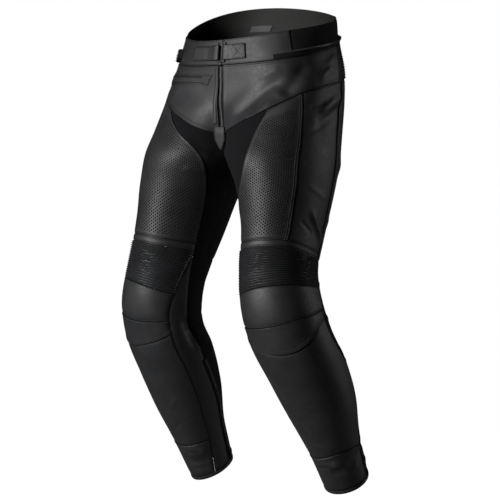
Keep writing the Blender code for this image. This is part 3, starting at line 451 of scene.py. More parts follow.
def places(length, step):
    """Fractions of a length (mm) at which points stand, closer together near its ends."""
    reach = EDGE_STEPS[-1]
    if length < 3 * reach:
        return np.linspace(0, 1, max(5, round(length / 1.1)) + 1)
    middle = np.linspace(reach, length - reach, max(2, round((length - 2 * reach) / step)) + 1)
    edge = np.array(EDGE_STEPS[:-1])
    return np.concatenate([edge, middle, (length - edge)[::-1]]) / length


def fill_between(west, east, north, south, u, v, insets):
    """Grids of turn and down that fill the stretch between four seams at fractions u and v."""
    u, v = u[None, :], v[:, None]
    down = np.full((v.size, u.size), float(np.mean(north(np.array(120.0)))))
    for _ in range(24):
        start = west(down) + degrees_for(insets[0], down)
        end = east(down) - degrees_for(insets[1], down)
        turn = start + (end - start) * u
        top, foot = north(turn) + insets[2], south(turn) - insets[3]
        down = 0.5 * down + 0.5 * (top + (foot - top) * v)
    return turn, top + (foot - top) * v


def spread(side, seams, columns, rows, insets, step):
    """The turn and down of a piece's points, as closely spaced as step (mm) asks."""
    rough_places = np.linspace(0, 1, 7)         # enough to tell how wide and tall the piece is
    turn, down = fill_between(*seams, rough_places, rough_places, insets)
    rough = bare_skin(side, turn, down)
    wide = np.linalg.norm(np.diff(rough, axis=1), axis=-1).sum(axis=1).max() / MM
    tall = np.linalg.norm(np.diff(rough, axis=0), axis=-1).sum(axis=0).max() / MM
    u = places(wide, step) if columns is None else np.linspace(0, 1, columns + 1)
    v = places(tall, step) if rows is None else np.linspace(0, 1, rows + 1)
    return u, v, *fill_between(*seams, u, v, insets)


def cut_piece(side, seams, columns=None, rows=None, step=CLOTH_STEP, gap=CLOTH_GAP):
    """A piece between its west, east, north and south seams, on one side of the body."""
    _u, _v, turn, down = spread(side, seams, columns, rows, (gap / 2,) * 4, step)
    base = bare_skin(side, turn, down)
    return Panel(side, turn, down, base, grid_normals(base, side))


def cut_across(at_front, edges, north, south, rows=None):
    """A piece over the centre front or back, as far as a seam on each side."""
    inset = PATCH_GAP / 2
    halves = {}
    for side in (LEFT, RIGHT):
        if at_front:
            seams, insets = (front_limit, edges[side], north, south), (0, inset, inset, inset)
        else:
            seams, insets = (edges[side], back_limit, north, south), (inset, 0, inset, inset)
        if side == LEFT:
            u, v, turn, down = spread(side, seams, None, rows, insets, CLOTH_STEP)
        else:
            turn, down = fill_between(*seams, u, v, insets)
        base = bare_skin(side, turn, down)
        base[:, 0 if at_front else -1, 0] = 0
        halves[side] = (turn, down, base)
    pairs = zip(halves[LEFT], halves[RIGHT])
    if at_front:
        turn, down, base = (np.concatenate([right[:, :0:-1], left], axis=1) for left, right in pairs)
        right_half = np.arange(base.shape[1]) < halves[RIGHT][0].shape[1] - 1
    else:
        turn, down, base = (np.concatenate([left, right[:, -2::-1]], axis=1) for left, right in pairs)
        right_half = np.arange(base.shape[1]) >= halves[LEFT][0].shape[1]
    panel = Panel(LEFT, turn, down, base, grid_normals(base, LEFT))
    panel.right_half = right_half
    return panel


LAP_HEIGHT = 1.2            # how far an edge that lies on its neighbour stands up
LAP_WIDTH = 7.0
LAP_TUCK = 0.9              # how far its very edge turns down again
LAP_TUCK_WIDTH = 0.8
PUFF_WIDTH = 9.0            # how far from its edges a puffed piece reaches its height
STITCH_PULL = 0.35          # how deep a stitch row draws the leather in
STITCH_PULL_WIDTH = 0.8
EDGE_SHADE = 0.9            # how dark the painted shade at an edge is, and how far it reaches
EDGE_SHADE_WIDTH = 0.7
# painted shade along the stitch row beside an edge: how dark, and how wide
STITCH_SHADE = 0.40
STITCH_SHADE_WIDTH = 0.55


def edge_distance(panel):
    """The distance (mm) of every point to the nearest edge."""
    near = panel.distances()
    return np.minimum(np.minimum(near["w"], near["e"]), np.minimum(near["n"], near["s"]))


def bell(distance, width):
    """1 at no distance, fading to nothing over about twice the width."""
    return np.exp(-(distance / width)**2)


def seam_shade(panel):
    """Painted shade on the leather: at its very edge, in the seam, and along the stitch row beside it."""
    nearest = edge_distance(panel)
    return np.maximum(EDGE_SHADE * bell(nearest, EDGE_SHADE_WIDTH),
                      STITCH_SHADE * bell(nearest - STITCH_ROW, STITCH_SHADE_WIDTH))


def shape_panel(panel, lift=0.0, dip=1.0, dip_width=2.6, puff=0.5, relief=0.0, laps=""):
    """Raises the piece's face into its folds and shapes its edges at the seams.

    Its edges dip into the seam, but those named in laps lie on top of the next piece.
    """
    near = panel.distances()
    nearest = edge_distance(panel)
    height = lift + puff * (1 - bell(nearest, PUFF_WIDTH)) + relief
    if puff > 0:
        height = height - STITCH_PULL * bell(nearest - STITCH_ROW, STITCH_PULL_WIDTH)
    tucked = np.full(nearest.shape, 1e6)
    for edge in "wens":
        if edge in laps:
            rise = LAP_HEIGHT * bell(near[edge], LAP_WIDTH)
            height = height + (rise - (LAP_HEIGHT + LAP_TUCK) * bell(near[edge], LAP_TUCK_WIDTH))
        else:
            tucked = np.minimum(tucked, near[edge])
    height = height - dip * bell(tucked, dip_width)
    wide = fold_height(panel.side, panel.turn, panel.down)
    if not panel.folded:
        wide = wide * 0
    if panel.right_half is not None:
        other = fold_height(RIGHT, panel.turn, panel.down)
        wide = np.where(panel.right_half[None, :], other, wide)
    panel.folds = wide + ripple(panel.base)
    panel.outer = panel.base + panel.normal * (height + panel.folds)[..., None] * MM
    panel.face_normal = grid_normals(panel.outer, panel.side)


SMOOTH_ANGLE = 50           # degrees; sharper folds than this show as edges


def new_mesh_object(name, points, faces, material):
    mesh = bpy.data.meshes.new(name)
    mesh.from_pydata(np.asarray(points).tolist(), [], faces)
    mesh.materials.append(material)
    mesh.shade_smooth()
    mesh.set_sharp_from_angle(angle=math.radians(SMOOTH_ANGLE))
    obj = bpy.data.objects.new(name, mesh)
    bpy.context.scene.collection.objects.link(obj)
    return obj


def grid_faces(rows, columns, first, turned):
    row = np.arange(rows - 1)[:, None]
    a = first + row * columns + np.arange(columns - 1)[None, :]
    quads = np.stack([a, a + columns, a + columns + 1, a + 1], axis=-1).reshape(-1, 4)
    return (quads[:, ::-1] if turned else quads).tolist()


def shell(name, outer, inner, side, material, uv, marks=None):
    """A closed thin shell between an outer and an inner grid, with a UV map in metres."""
    rows, columns = outer.shape[:2]
    under = rows * columns
    points = np.concatenate([outer.reshape(-1, 3), inner.reshape(-1, 3)])
    faces = grid_faces(rows, columns, 0, False) + grid_faces(rows, columns, under, True)
    foot = (rows - 1) * columns
    for column in range(columns - 1):
        beside = column + 1
        faces.append([column, beside, under + beside, under + column])
        faces.append([foot + beside, foot + column, under + foot + column, under + foot + beside])
    for row in range(rows - 1):
        a, b = row * columns, (row + 1) * columns
        faces.append([b, a, a + under, b + under])
        a, b = a + columns - 1, b + columns - 1
        faces.append([a, b, b + under, a + under])
    if side < 0:
        faces = [face[::-1] for face in faces]
    obj = new_mesh_object(name, points, faces, material)
    layer = obj.data.uv_layers.new(name="cloth")
    vertex_uv = np.concatenate([uv.reshape(-1, 2)] * 2)
    loops = np.zeros(len(obj.data.loops), dtype=np.int32)
    obj.data.loops.foreach_get("vertex_index", loops)
    layer.data.foreach_set("uv", vertex_uv[loops].ravel().astype(np.float32))
    for label, values in (marks or {}).items():
        mark_points(obj, label, np.concatenate([values.ravel(), values.ravel() * 0]))
    mark_points(obj, "inside", np.repeat([0.0, 1.0], under))
    return obj


def mark_points(obj, label, values):
    attribute = obj.data.attributes.new(label, "FLOAT", "POINT")
    attribute.data.foreach_set("value", np.asarray(values, dtype=np.float32))


UV_PER_DEGREE = 1.75        # mm round the garment for each degree of turn, on the UV map


def cloth_uv(panel):
    """Distances round and down the garment, in metres."""
    return np.stack([panel.turn * UV_PER_DEGREE, panel.down], axis=-1) * MM


def flat_cut(panel):
    """Width, length and area (m, m2) of the piece laid flat, in the smallest rectangle round it."""
    near = panel.distances()
    round_length = near["w"] + near["e"]
    if panel.right_half is None:
        spans = np.maximum(panel.turn[:, -1:] - panel.turn[:, :1], 1e-6)
        sideways = panel.turn * np.mean(round_length[:, :1] / spans)
    else:
        sideways = near["w"] - round_length / 2
    tallness = np.mean((near["n"] + near["s"]) / (panel.down[-1:] - panel.down[:1]))
    flat = np.stack([sideways, panel.down * tallness], axis=-1).reshape(-1, 2) * MM
    edge_a = np.diff(panel.base, axis=0)[:, :-1]
    edge_b = np.diff(panel.base, axis=1)[:-1]
    area = float(np.linalg.norm(np.cross(edge_a, edge_b), axis=-1).sum())
    best = None
    for angle in np.radians(np.arange(0, 90, 3)):
        along = flat @ [math.cos(angle), math.sin(angle)]
        across = flat @ [-math.sin(angle), math.cos(angle)]
        size = (float(np.ptp(along)), float(np.ptp(across)))
        if best is None or size[0] * size[1] < best[0] * best[1]:
            best = size
    width, length = best
    return width, length, min(max(area, 0.3 * width * length), width * length)


def finish_piece(obj, slot, *nodes):
    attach(obj, BODY)
    if nodes:
        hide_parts(*nodes)
    return obj


# ---------------------------------------------------------------- threads and teeth
LINE_STEP = 0.4             # mm either way over which a line's direction is read


def seam_line(panel, edge, offset, lift):
    """Points and outward directions along a line that keeps offset (mm) from an edge."""
    near = panel.distances()[edge]
    if edge in "ns":
        lines = [(near[:, j], panel.outer[:, j], panel.face_normal[:, j])
                 for j in range(near.shape[1])]
    else:
        lines = [(near[i], panel.outer[i], panel.face_normal[i]) for i in range(near.shape[0])]
    points, normals = [], []
    for distance, place, out in lines:
        if distance[0] > distance[-1]:
            distance, place, out = distance[::-1], place[::-1], out[::-1]
        points.append([np.interp(offset, distance, place[:, k]) for k in range(3)])
        normals.append([np.interp(offset, distance, out[:, k]) for k in range(3)])
    points, normals = np.array(points), np.array(normals)
    return points + normals * lift * MM, normals


def along_line(points, normals, pitch):
    """Evenly spaced places along a line: middle, direction and outward direction."""
    steps = np.linalg.norm(np.diff(points, axis=0), axis=1)
    travelled = np.concatenate([[0], np.cumsum(steps)])
    count = max(1, int(travelled[-1] / (pitch * MM)))
    at = (np.arange(count) + 0.5) * travelled[-1] / count

    def read(values, where):
        return np.stack([np.interp(where, travelled, values[:, k]) for k in range(3)], axis=1)

    along = unit(read(points, at + LINE_STEP * MM) - read(points, at - LINE_STEP * MM))
    out = read(normals, at)
    out = unit(out - along * (out * along).sum(axis=1, keepdims=True))
    return read(points, at), along, out


def repeat_shape(template, faces, middle, along, out):
    """The template's points (along, across, out; mm) set at every place, and their faces."""
    across = np.cross(out, along)
    template = np.asarray(template, dtype=float) * MM
    placed = (middle[:, None, :] + template[None, :, 0:1] * along[:, None, :]
              + template[None, :, 1:2] * across[:, None, :]
              + template[None, :, 2:3] * out[:, None, :])
    count = len(template)
    all_faces = [[i + k * count for i in face] for k in range(len(middle)) for face in faces]
    return placed.reshape(-1, 3), all_faces


STITCH_PITCH = 3.6
STITCH_LENGTH = 2.6
STITCH_WIDTH = 0.95
STITCH_LIFT = 0.12          # how far the thread's middle stands off the leather
THREAD_RINGS = ((-0.5, 0.25, -0.25), (-0.3, 0.85, 0.1), (0.3, 0.85, 0.1), (0.5, 0.25, -0.25))


def stitch_template():
    """A short length of thread that dips into the leather at both ends."""
    points = []
    for place, size, sink in THREAD_RINGS:
        for across, out in ((-1, 0), (0, 1), (1, 0), (0, -1)):
            points.append((place * STITCH_LENGTH, across * size * STITCH_WIDTH / 2,
                           (out * size * 0.5 + sink) * STITCH_WIDTH))
    faces = [(k * 4 + i, k * 4 + 4 + i, k * 4 + 4 + (i + 1) % 4, k * 4 + (i + 1) % 4)
             for k in range(3) for i in range(4)]
    faces.append((0, 1, 2, 3))
    faces.append((15, 14, 13, 12))
    return points, [tuple(reversed(face)) for face in faces]


class Bundle:
    """Collects many small shapes into one mesh."""

    def __init__(self):
        self.points, self.faces, self.count = [], [], 0

    def add(self, points, faces):
        self.points.append(np.asarray(points))
        self.faces += [[i + self.count for i in face] for face in faces]
        self.count += len(points)

    def make(self, name, material, slot):
        finish_piece(new_mesh_object(name, np.concatenate(self.points), self.faces, material), slot)


threads = {place: Bundle() for place in ("torso", "left_leg", "right_leg")}
teeth = {place: Bundle() for place in threads}


def sew_line(bundle, points, normals, pitch=STITCH_PITCH, weight=1.0):
    """A row of stitches; weight is how much thicker than usual the thread is."""
    template, faces = stitch_template()
    template = np.array(template) * [1, weight, weight]
    bundle.add(*repeat_shape(template, faces, *along_line(points, normals, pitch)))


def topstitch(bundle, panel, **rows):
    """Rows of stitches beside the edges w, e, n and s, each at its distance (mm) from the edge."""
    for edge, offsets in rows.items():
        for offset in offsets:
            sew_line(bundle, *seam_line(panel, edge, offset, STITCH_LIFT))


# ---------------------------------------------------------------- materials
def node_material(name, colour, roughness):
    material = bpy.data.materials.new(name)
    material.use_nodes = True
    shader = material.node_tree.nodes["Principled BSDF"]
    shader.inputs["Base Color"].default_value = (*colour, 1)
    shader.inputs["Roughness"].default_value = roughness
    return material, material.node_tree, shader


def noise(tree, where, scale, detail=3.0):
    node = tree.nodes.new("ShaderNodeTexNoise")
    node.inputs["Scale"].default_value = scale
    node.inputs["Detail"].default_value = detail
    tree.links.new(where, node.inputs["Vector"])
    return node.outputs["Fac"]


def math_node(tree, operation, a, b=None):
    node = tree.nodes.new("ShaderNodeMath")
    node.operation = operation
    for index, value in enumerate((a, b)):
        if value is None:
            continue
        if isinstance(value, (int, float)):
            node.inputs[index].default_value = value
        else:
            tree.links.new(value, node.inputs[index])
    return node.outputs[0]


def blend_range(tree, factor, low, high, from_low=0.0, from_high=1.0):
    node = tree.nodes.new("ShaderNodeMapRange")
    tree.links.new(factor, node.inputs["Value"])
    for key, value in (("From Min", from_low), ("From Max", from_high), ("To Min", low), ("To Max", high)):
        node.inputs[key].default_value = value
    return node.outputs["Result"]


def mark_node(tree, label):
    """The value marked on the piece's points under that label."""
    node = tree.nodes.new("ShaderNodeAttribute")
    node.attribute_name = label
    return node.outputs["Fac"]


def cloth_places(tree):
    """The two numbers of the piece's own UV map: metres round it and down it."""
    uv = tree.nodes.new("ShaderNodeUVMap")
    uv.uv_map = "cloth"
    apart = tree.nodes.new("ShaderNodeSeparateXYZ")
    tree.links.new(uv.outputs["UV"], apart.inputs[0])
    return apart.outputs[0], apart.outputs[1]


def object_place(tree):
    return tree.nodes.new("ShaderNodeTexCoord").outputs["Object"]


def mix_colours(tree, factor, low, high):
    node = tree.nodes.new("ShaderNodeMix")
    node.data_type = "RGBA"
    tree.links.new(factor, node.inputs["Factor"])
    for socket, value in ((node.inputs[6], low), (node.inputs[7], high)):
        if isinstance(value, tuple):
            socket.default_value = (*value, 1)
        else:
            tree.links.new(value, socket)
    return node.outputs[2]


def bump(tree, height, strength, distance, before=None):
    node = tree.nodes.new("ShaderNodeBump")
    node.inputs["Strength"].default_value = strength
    node.inputs["Distance"].default_value = distance
    tree.links.new(height, node.inputs["Height"])
    if before is not None:
        tree.links.new(before, node.inputs["Normal"])
    return node.outputs["Normal"]


LEATHER_DARK = (0.0120, 0.0123, 0.0134)
LEATHER_LIGHT = (0.0225, 0.0230, 0.0248)
INNER_FACE = (0.0060, 0.0060, 0.0064)
# near black with no shine: painted shade in slits and seams, and the straps' dark edge paint
SHADE_AND_EDGE_PAINT_DARK = (0.0008, 0.0008, 0.0009)
# painted shade in the perforation holes, which are not cut
HOLE_PAINTED_SHADE = (0.0004, 0.0004, 0.0005)
LEATHER_SHINE = 0.46            # specular level
PEBBLES_PER_METRE = 820
PERFORATION_CELL = (0.0098, 0.0066)     # across and down, with a hole in its corner and one inside
PERFORATION_RADIUS = 0.00135
PERFORATION_BLUR = 0.00025


def with_marks(tree, colour):
    """The colour outside, the dark backing on points marked as inside, and painted shade in slits, seams
    and along strap edges, where the straps' dark edge paint also is.
    """
    for label, marked in (("inside", INNER_FACE), ("shade_and_edge_paint", SHADE_AND_EDGE_PAINT_DARK)):
        colour = mix_colours(tree, mark_node(tree, label), colour, marked)
    return colour


def shine(tree, hole):
    """The leather's specular level, which fades to none where shade is painted: in slits, seams, holes and
    along strap edges.
    """
    dull = mark_node(tree, "shade_and_edge_paint")
    if hole is not None:
        dull = math_node(tree, "MAXIMUM", dull, hole)
    return math_node(tree, "MULTIPLY", math_node(tree, "SUBTRACT", 1.0, dull), LEATHER_SHINE)


def perforation(tree):
    """1 in the holes of two interleaved grids, 0 between them."""
    places_on_cloth = cloth_places(tree)
    holes = None
    for shift in (0.0, 0.5):
        squares = []
        for axis, size in enumerate(PERFORATION_CELL):
            cell = math_node(tree, "DIVIDE", places_on_cloth[axis], size)
            cell = math_node(tree, "ADD", cell, shift + 50)
            off = math_node(tree, "SUBTRACT", math_node(tree, "FRACT", cell), 0.5)
            off = math_node(tree, "MULTIPLY", off, size)
            squares.append(math_node(tree, "MULTIPLY", off, off))
        reach = math_node(tree, "SQRT", math_node(tree, "ADD", *squares))
        hole = blend_range(tree, reach, 1, 0, PERFORATION_RADIUS - PERFORATION_BLUR,
                           PERFORATION_RADIUS + PERFORATION_BLUR)
        holes = hole if holes is None else math_node(tree, "MAXIMUM", holes, hole)
    return holes


def leather_material(name, grain=0.16, roughness=(0.46, 0.60), perforated=False):
    material, tree, shader = node_material(name, LEATHER_LIGHT, 0.52)
    where = object_place(tree)
    cells = tree.nodes.new("ShaderNodeTexVoronoi")
    cells.feature = "DISTANCE_TO_EDGE"
    cells.inputs["Scale"].default_value = PEBBLES_PER_METRE
    tree.links.new(where, cells.inputs["Vector"])
    pebble = blend_range(tree, cells.outputs["Distance"], 0, 1, 0.0, 0.22)
    cloudy = noise(tree, where, 26, 4)
    mottled = noise(tree, where, 190, 5)
    tone = math_node(tree, "MULTIPLY", cloudy, 0.75)
    tone = math_node(tree, "ADD", tone, math_node(tree, "MULTIPLY", mottled, 0.3))
    colour = mix_colours(tree, blend_range(tree, tone, 0, 1, 0.3, 0.75), LEATHER_DARK, LEATHER_LIGHT)
    rough = blend_range(tree, math_node(tree, "ADD", tone, mottled), roughness[0], roughness[1],
                        0.55, 1.35)
    normal = bump(tree, noise(tree, where, 90, 4), 0.10, 0.0006)
    normal = bump(tree, noise(tree, where, 420, 3), 0.25, 0.00018, normal)
    normal = bump(tree, pebble, grain * 2.2, 0.00010, normal)
    hole = None
    if perforated:
        hole = math_node(tree, "MULTIPLY", perforation(tree), mark_node(tree, "perforated"))
        # the holes are painted near black with no shine: painted shade seen through them
        colour = mix_colours(tree, hole, colour, HOLE_PAINTED_SHADE)
        rough = math_node(tree, "MAXIMUM", rough, math_node(tree, "MULTIPLY", hole, 0.95))
        normal = bump(tree, math_node(tree, "SUBTRACT", 1.0, hole), 0.9, 0.0007, normal)
    tree.links.new(with_marks(tree, colour), shader.inputs["Base Color"])
    tree.links.new(shine(tree, hole), shader.inputs["Specular IOR Level"])
    tree.links.new(rough, shader.inputs["Roughness"])
    tree.links.new(normal, shader.inputs["Normal"])
    return material


def woven_material(name, dark, light, scale, roughness, sheen=0.02, diagonal=0.0,
                   depth=0.00025, strength=0.5):
    """Cloth whose yarns run along the piece's own UV map, with scale radians a metre."""
    material, tree, shader = node_material(name, light, roughness)
    shader.inputs["Sheen Weight"].default_value = sheen
    shader.inputs["Sheen Roughness"].default_value = 0.4
    shader.inputs["Specular IOR Level"].default_value = 0.25
    along, down = (math_node(tree, "MULTIPLY", place, scale) for place in cloth_places(tree))
    slanted = math_node(tree, "ADD", along, math_node(tree, "MULTIPLY", down, diagonal))
    weft = math_node(tree, "ABSOLUTE", math_node(tree, "SINE", slanted))
    warp = math_node(tree, "ABSOLUTE", math_node(tree, "SINE", down))
    weave = math_node(tree, "MULTIPLY", weft, warp)
    where = object_place(tree)
    patchy = noise(tree, where, 60, 3)
    tone = math_node(tree, "ADD", math_node(tree, "MULTIPLY", weave, 0.6),
                     math_node(tree, "MULTIPLY", patchy, 0.4))
    colour = mix_colours(tree, tone, dark, light)
    normal = bump(tree, noise(tree, where, 120, 2), 0.15, 0.0005)
    normal = bump(tree, weave, strength, depth, normal)
    tree.links.new(colour, shader.inputs["Base Color"])
    tree.links.new(normal, shader.inputs["Normal"])
    return material


def plain_finish(name, colour, roughness, metallic=0.0, grain_scale=500):
    """Moulded or cast finish with a slight texture."""
    material, tree, shader = node_material(name, colour, roughness)
    shader.inputs["Metallic"].default_value = metallic
    speck = noise(tree, object_place(tree), grain_scale, 3)
    rough = blend_range(tree, speck, roughness - 0.07, roughness + 0.09, 0.3, 0.7)
    darker = tuple(c * 0.75 for c in colour)
    tree.links.new(mix_colours(tree, speck, darker, colour), shader.inputs["Base Color"])
    tree.links.new(rough, shader.inputs["Roughness"])
    tree.links.new(bump(tree, speck, 0.2, 0.05 * MM), shader.inputs["Normal"])
    return material


finishes = {
    "leather": leather_material("trouser_leather"),
    "perforated": leather_material("perforated_leather", perforated=True),
    "rib": leather_material("ribbed_leather", grain=0.12, roughness=(0.36, 0.48)),
    "stretch": woven_material("stretch_cloth", (0.0010, 0.0009, 0.0015), (0.0030, 0.0026, 0.0042),
                              5200, 0.9, diagonal=0.5),
    "elastic": woven_material("mesh_elastic", (0.0003, 0.0003, 0.0004), (0.0140, 0.0140, 0.0150),
                              1500, 0.85, sheen=0.01, diagonal=1.0, depth=0.0007, strength=0.9),
    "lining": woven_material("lining", (0.0080, 0.0080, 0.0074), (0.0150, 0.0150, 0.0138),
                             6000, 0.65, strength=0.2),
    "tape": woven_material("zip_tape", (0.0016, 0.0016, 0.0018), (0.0050, 0.0050, 0.0054),
                           3400, 0.8, diagonal=1.0),
    "thread": plain_finish("thread", (0.0030, 0.0030, 0.0034), 0.5, grain_scale=2500),
    "teeth": plain_finish("zip_teeth", (0.120, 0.120, 0.126), 0.30),
    "metal": plain_finish("dark_metal", (0.11, 0.11, 0.12), 0.34, metallic=1.0),
    "plastic": plain_finish("buckle_plastic", (0.030, 0.030, 0.033), 0.28),
    "label": plain_finish("label_satin", (0.022, 0.022, 0.025), 0.62, grain_scale=1200),
}


# ---------------------------------------------------------------- building the garment
FINISH_SLOTS = {"leather": "leather", "perforated": "leather", "rib": "ribbed_leather",
                "stretch": "stretch_cloth", "elastic": "mesh_elastic", "lining": "lining",
                "tape": "zip_tape", "label": "label"}


def make(name, panel, finish="leather", wall=SHELL, marks=None, uv=None, **shape):
    shape_panel(panel, **shape)
    floor = panel.folds + shape.get("lift", 0.0) - wall
    inner = panel.base + panel.normal * floor[..., None] * MM
    outer = panel.outer.copy()
    if panel.right_half is None:
        for grid in (outer, inner):
            grid[..., 0] = panel.side * np.maximum(panel.side * grid[..., 0], CENTRE_ROOM * MM)
    slot = FINISH_SLOTS[finish]
    marks = dict(marks or {})
    # leather pieces get painted shade along their edges and stitch rows, on the same mark as slits and
    # strap edges
    if slot == "leather":
        marks["shade_and_edge_paint"] = np.maximum(seam_shade(panel), marks.get("shade_and_edge_paint", 0.0))
    uv = cloth_uv(panel) if uv is None else uv
    obj = shell(name + "_cloth", outer, inner, panel.side, finishes[finish], uv, marks)
    finish_piece(obj, slot, name)
    width, length, area = flat_cut(panel)
    return panel


RIB_WAVINESS = 0.07
RIB_END = 5                 # mm over which the pleats flatten towards their ends


def rib_relief(panel, count, height):
    """Rounded pleats with narrow valleys, a little uneven along their length."""
    rows = panel.turn.shape[0]
    place = np.linspace(0, 1, rows)[:, None]
    sway = np.sin(panel.turn * 0.11 + place * 9) + 0.6 * np.sin(panel.turn * 0.05 - place * 14)
    phase = place * count + RIB_WAVINESS * sway * np.sin(np.pi * place)
    crest = 1 - np.abs(np.cos(np.pi * phase))**2.4
    near = panel.distances()
    ends = np.clip(np.minimum(near["w"], near["e"]) / RIB_END, 0, 1)
    return height * crest * (0.35 + 0.65 * ends)


def build_waist():
    torso = threads["torso"]
    rim = level(0)
    for side, label in SIDE_NAMES.items():
        front = cut_piece(side, (front_limit, BAND_LEATHER_END, rim, BAND_FOOT))
        make(f"waistband_front_{label}", front, wall=2.2, laps="sen")
        topstitch(torso, front, n=[3.5], s=[2.8], e=[STITCH_ROW, 7.5])
        stretch = cut_piece(side, (BAND_LEATHER_END, BAND_STRETCH_END, rim, BAND_FOOT))
        make(f"waistband_stretch_{label}", stretch, "elastic", wall=2.2, lift=-0.3)
        topstitch(torso, stretch, s=[2.8])
    back = cut_across(False, both(BAND_STRETCH_END), rim, BAND_FOOT)
    make("waistband_back", back, wall=2.2, laps="nswe")
    topstitch(torso, back, n=[3.5], s=[2.8])
    inside = {"wall": 0.8, "lift": INSIDE_BAND, "dip": 0.3, "puff": 0.0}
    facing = cut_across(False, both(level(FACING_FRONT)), level(1), level(FACING_FOOT))
    make("waist_facing", facing, "lining", **inside)
    lining = cut_across(False, both(level(LINING_FRONT)), level(FACING_FOOT), level(LINING_FOOT))
    make("seat_lining", lining, "lining", **inside)
    label = cut_piece(RIGHT, [level(edge) for edge in LABEL_TURNS + LABEL_DOWNS], step=1.6, gap=PATCH_GAP)
    make("inner_label", label, "label", wall=0.6, lift=INSIDE_FACING, dip=0.2, puff=0.0)
    build_strap("waist_strap", RIGHT, WAIST_STRAP, 7.0)
    build_strap("anchor_tab", LEFT, ANCHOR_TAB, 0.0)
    sew_strap_ends(torso)
    build_buckle()
    build_connection_zip(torso)


# A folded strap seen from above: distance from the centre front and lift of its middle (mm),
# from the hidden end, round the buckle's bar and back to the sewn or cut-back end.
WAIST_STRAP = ((34, 1.3), (22, 1.3), (9, 1.3), (5.2, 2.4), (4.7, 4.4), (6.2, 6.1), (10, 6.7),
               (15, 6.5), (20, 5.4), (26, 3.9), (34, 3.1), (48, 3.1), (62, 3.1), (76, 3.1),
               (88, 3.1))
ANCHOR_TAB = ((26, 1.3), (18, 1.3), (11, 1.3), (7.6, 2.4), (7.2, 4.4), (8.6, 6.2), (12.6, 6.9),
              (17, 6.5), (22, 5.1), (28, 3.9), (35, 3.2), (49, 3.2), (63, 3.2))
STRAP_SPAN = (13.0, 45.0)       # top and bottom edge of the straps, down from the rim
STRAP_THICKNESS = 1.4
STRAP_FLARE = 0.10              # how much longer the straps lie along their lower edge
STRAP_FOLD = 8.0
STRAP_EDGE_ROUND = 0.45
STRAP_EDGE_PAINT_AND_SHADE = 0.9          # width of the dark edge paint along the cut edge, which also stands in for painted shade along the strap's outline
STRAP_ACROSS = np.array([0, 0.015, 0.04, 0.09, 0.16, 0.26, 0.38, 0.5, 0.62, 0.74, 0.84, 0.91, 0.96,
                         0.985, 1])


def turn_at(from_centre_line, down):
    """The turn at which the front lies that far (mm) from the centre line."""
    c = section_at(down)
    depth = reach_at_centre(c, np.maximum(c["web"], LEAST_FILL)) * c["front"]
    return 180 - np.degrees(np.arctan2(depth, from_centre_line - c["across"]))


def strap_points(side, distance, part, lift):
    """Points of a strap: distance from the centre front, part of the way down it, and lift."""
    top, foot = STRAP_SPAN
    down = top + (foot - top) * part
    distance = distance + (distance - STRAP_FOLD) * STRAP_FLARE * part
    return skin(side, turn_at(distance, down), down, lift)


def build_strap(name, side, path, corner):
    """A strap folded along its path; the free end's corners are cut back by corner (mm)."""
    path = np.array(path, dtype=float)
    travelled = np.concatenate([[0], np.cumsum(np.linalg.norm(np.diff(path, axis=0), axis=1))])
    curves = [smooth_curve(*zip(travelled, path[:, k])) for k in (0, 1)]
    part = STRAP_ACROSS[:, None]
    cut_back = corner * np.clip((np.abs(part - 0.5) * 2 - 0.62) / 0.38, 0, 1)**1.6
    u = places(travelled[-1], 1.6)[None, :]
    at = u * (travelled[-1] - cut_back)
    distance, lift = curves[0](at), curves[1](at)
    ahead = [curve(at + 0.3) - curve(at - 0.3) for curve in curves]
    length = np.hypot(*ahead)
    beside = (-ahead[1] / length, ahead[0] / length)
    edge_round = STRAP_EDGE_ROUND * bell(np.minimum(part, 1 - part), 0.03)
    half = STRAP_THICKNESS / 2
    outer, inner = (strap_points(side, distance + beside[0] * reach, part, lift + beside[1] * reach)
                    for reach in (half - edge_round, -half))
    tall = STRAP_SPAN[1] - STRAP_SPAN[0]
    uv = np.stack([at + part * 0, np.broadcast_to(part * tall, at.shape)], axis=-1) * MM
    from_edge = np.minimum(np.minimum(part, 1 - part) * tall, travelled[-1] - cut_back - at)
    # dark edge paint and painted shade along the strap's outline
    marks = {"shade_and_edge_paint": bell(from_edge, STRAP_EDGE_PAINT_AND_SHADE)}
    obj = shell(name + "_cloth", outer, inner, side, finishes["leather"], uv, marks)
    finish_piece(obj, "leather", name)


STRAP_STITCH_LIFT = 3.95
STRAP_STITCH_PITCH = 3.0
STRAP_STITCH_WEIGHT = 1.35
ANCHOR_BOX = ((30, 0.09), (60, 0.09), (60, 0.91), (30, 0.91))
WAIST_STRAP_ROWS = (((30, 0.1), (80, 0.1)), ((30, 0.9), (80, 0.9)), ((30, 0.1), (30, 0.9)),
                    ((33.5, 0.1), (33.5, 0.9)), ((85, 0.25), (85, 0.75)))


def sew_on_strap(bundle, side, start, end):
    """A row of stitches from one (distance, part) place on a strap's face to another."""
    path = np.linspace(start, end, 24)
    points = strap_points(side, path[:, 0], path[:, 1], STRAP_STITCH_LIFT)
    middle = 30.0
    normals = outward(side, turn_at(path[:, 0], middle), middle)
    sew_line(bundle, points, normals, STRAP_STITCH_PITCH, STRAP_STITCH_WEIGHT)


def sew_strap_ends(bundle):
    """The anchor's crossed box, and the rows round the waist strap's sewn length."""
    for k in range(4):
        sew_on_strap(bundle, LEFT, ANCHOR_BOX[k], ANCHOR_BOX[(k + 1) % 4])
    for k in range(2):
        sew_on_strap(bundle, LEFT, ANCHOR_BOX[k], ANCHOR_BOX[k + 2])
    for start, end in WAIST_STRAP_ROWS:
        sew_on_strap(bundle, RIGHT, start, end)


BUCKLE_CENTRE_X = 0.5
BUCKLE_HALF_WIDTH = 11.5
BUCKLE_HALF_HEIGHT = 21.0
BUCKLE_BAR = 3.0
BUCKLE_DOWN = 28.0
BUCKLE_LIFT = 3.8
BUCKLE_ROUND = 0.8


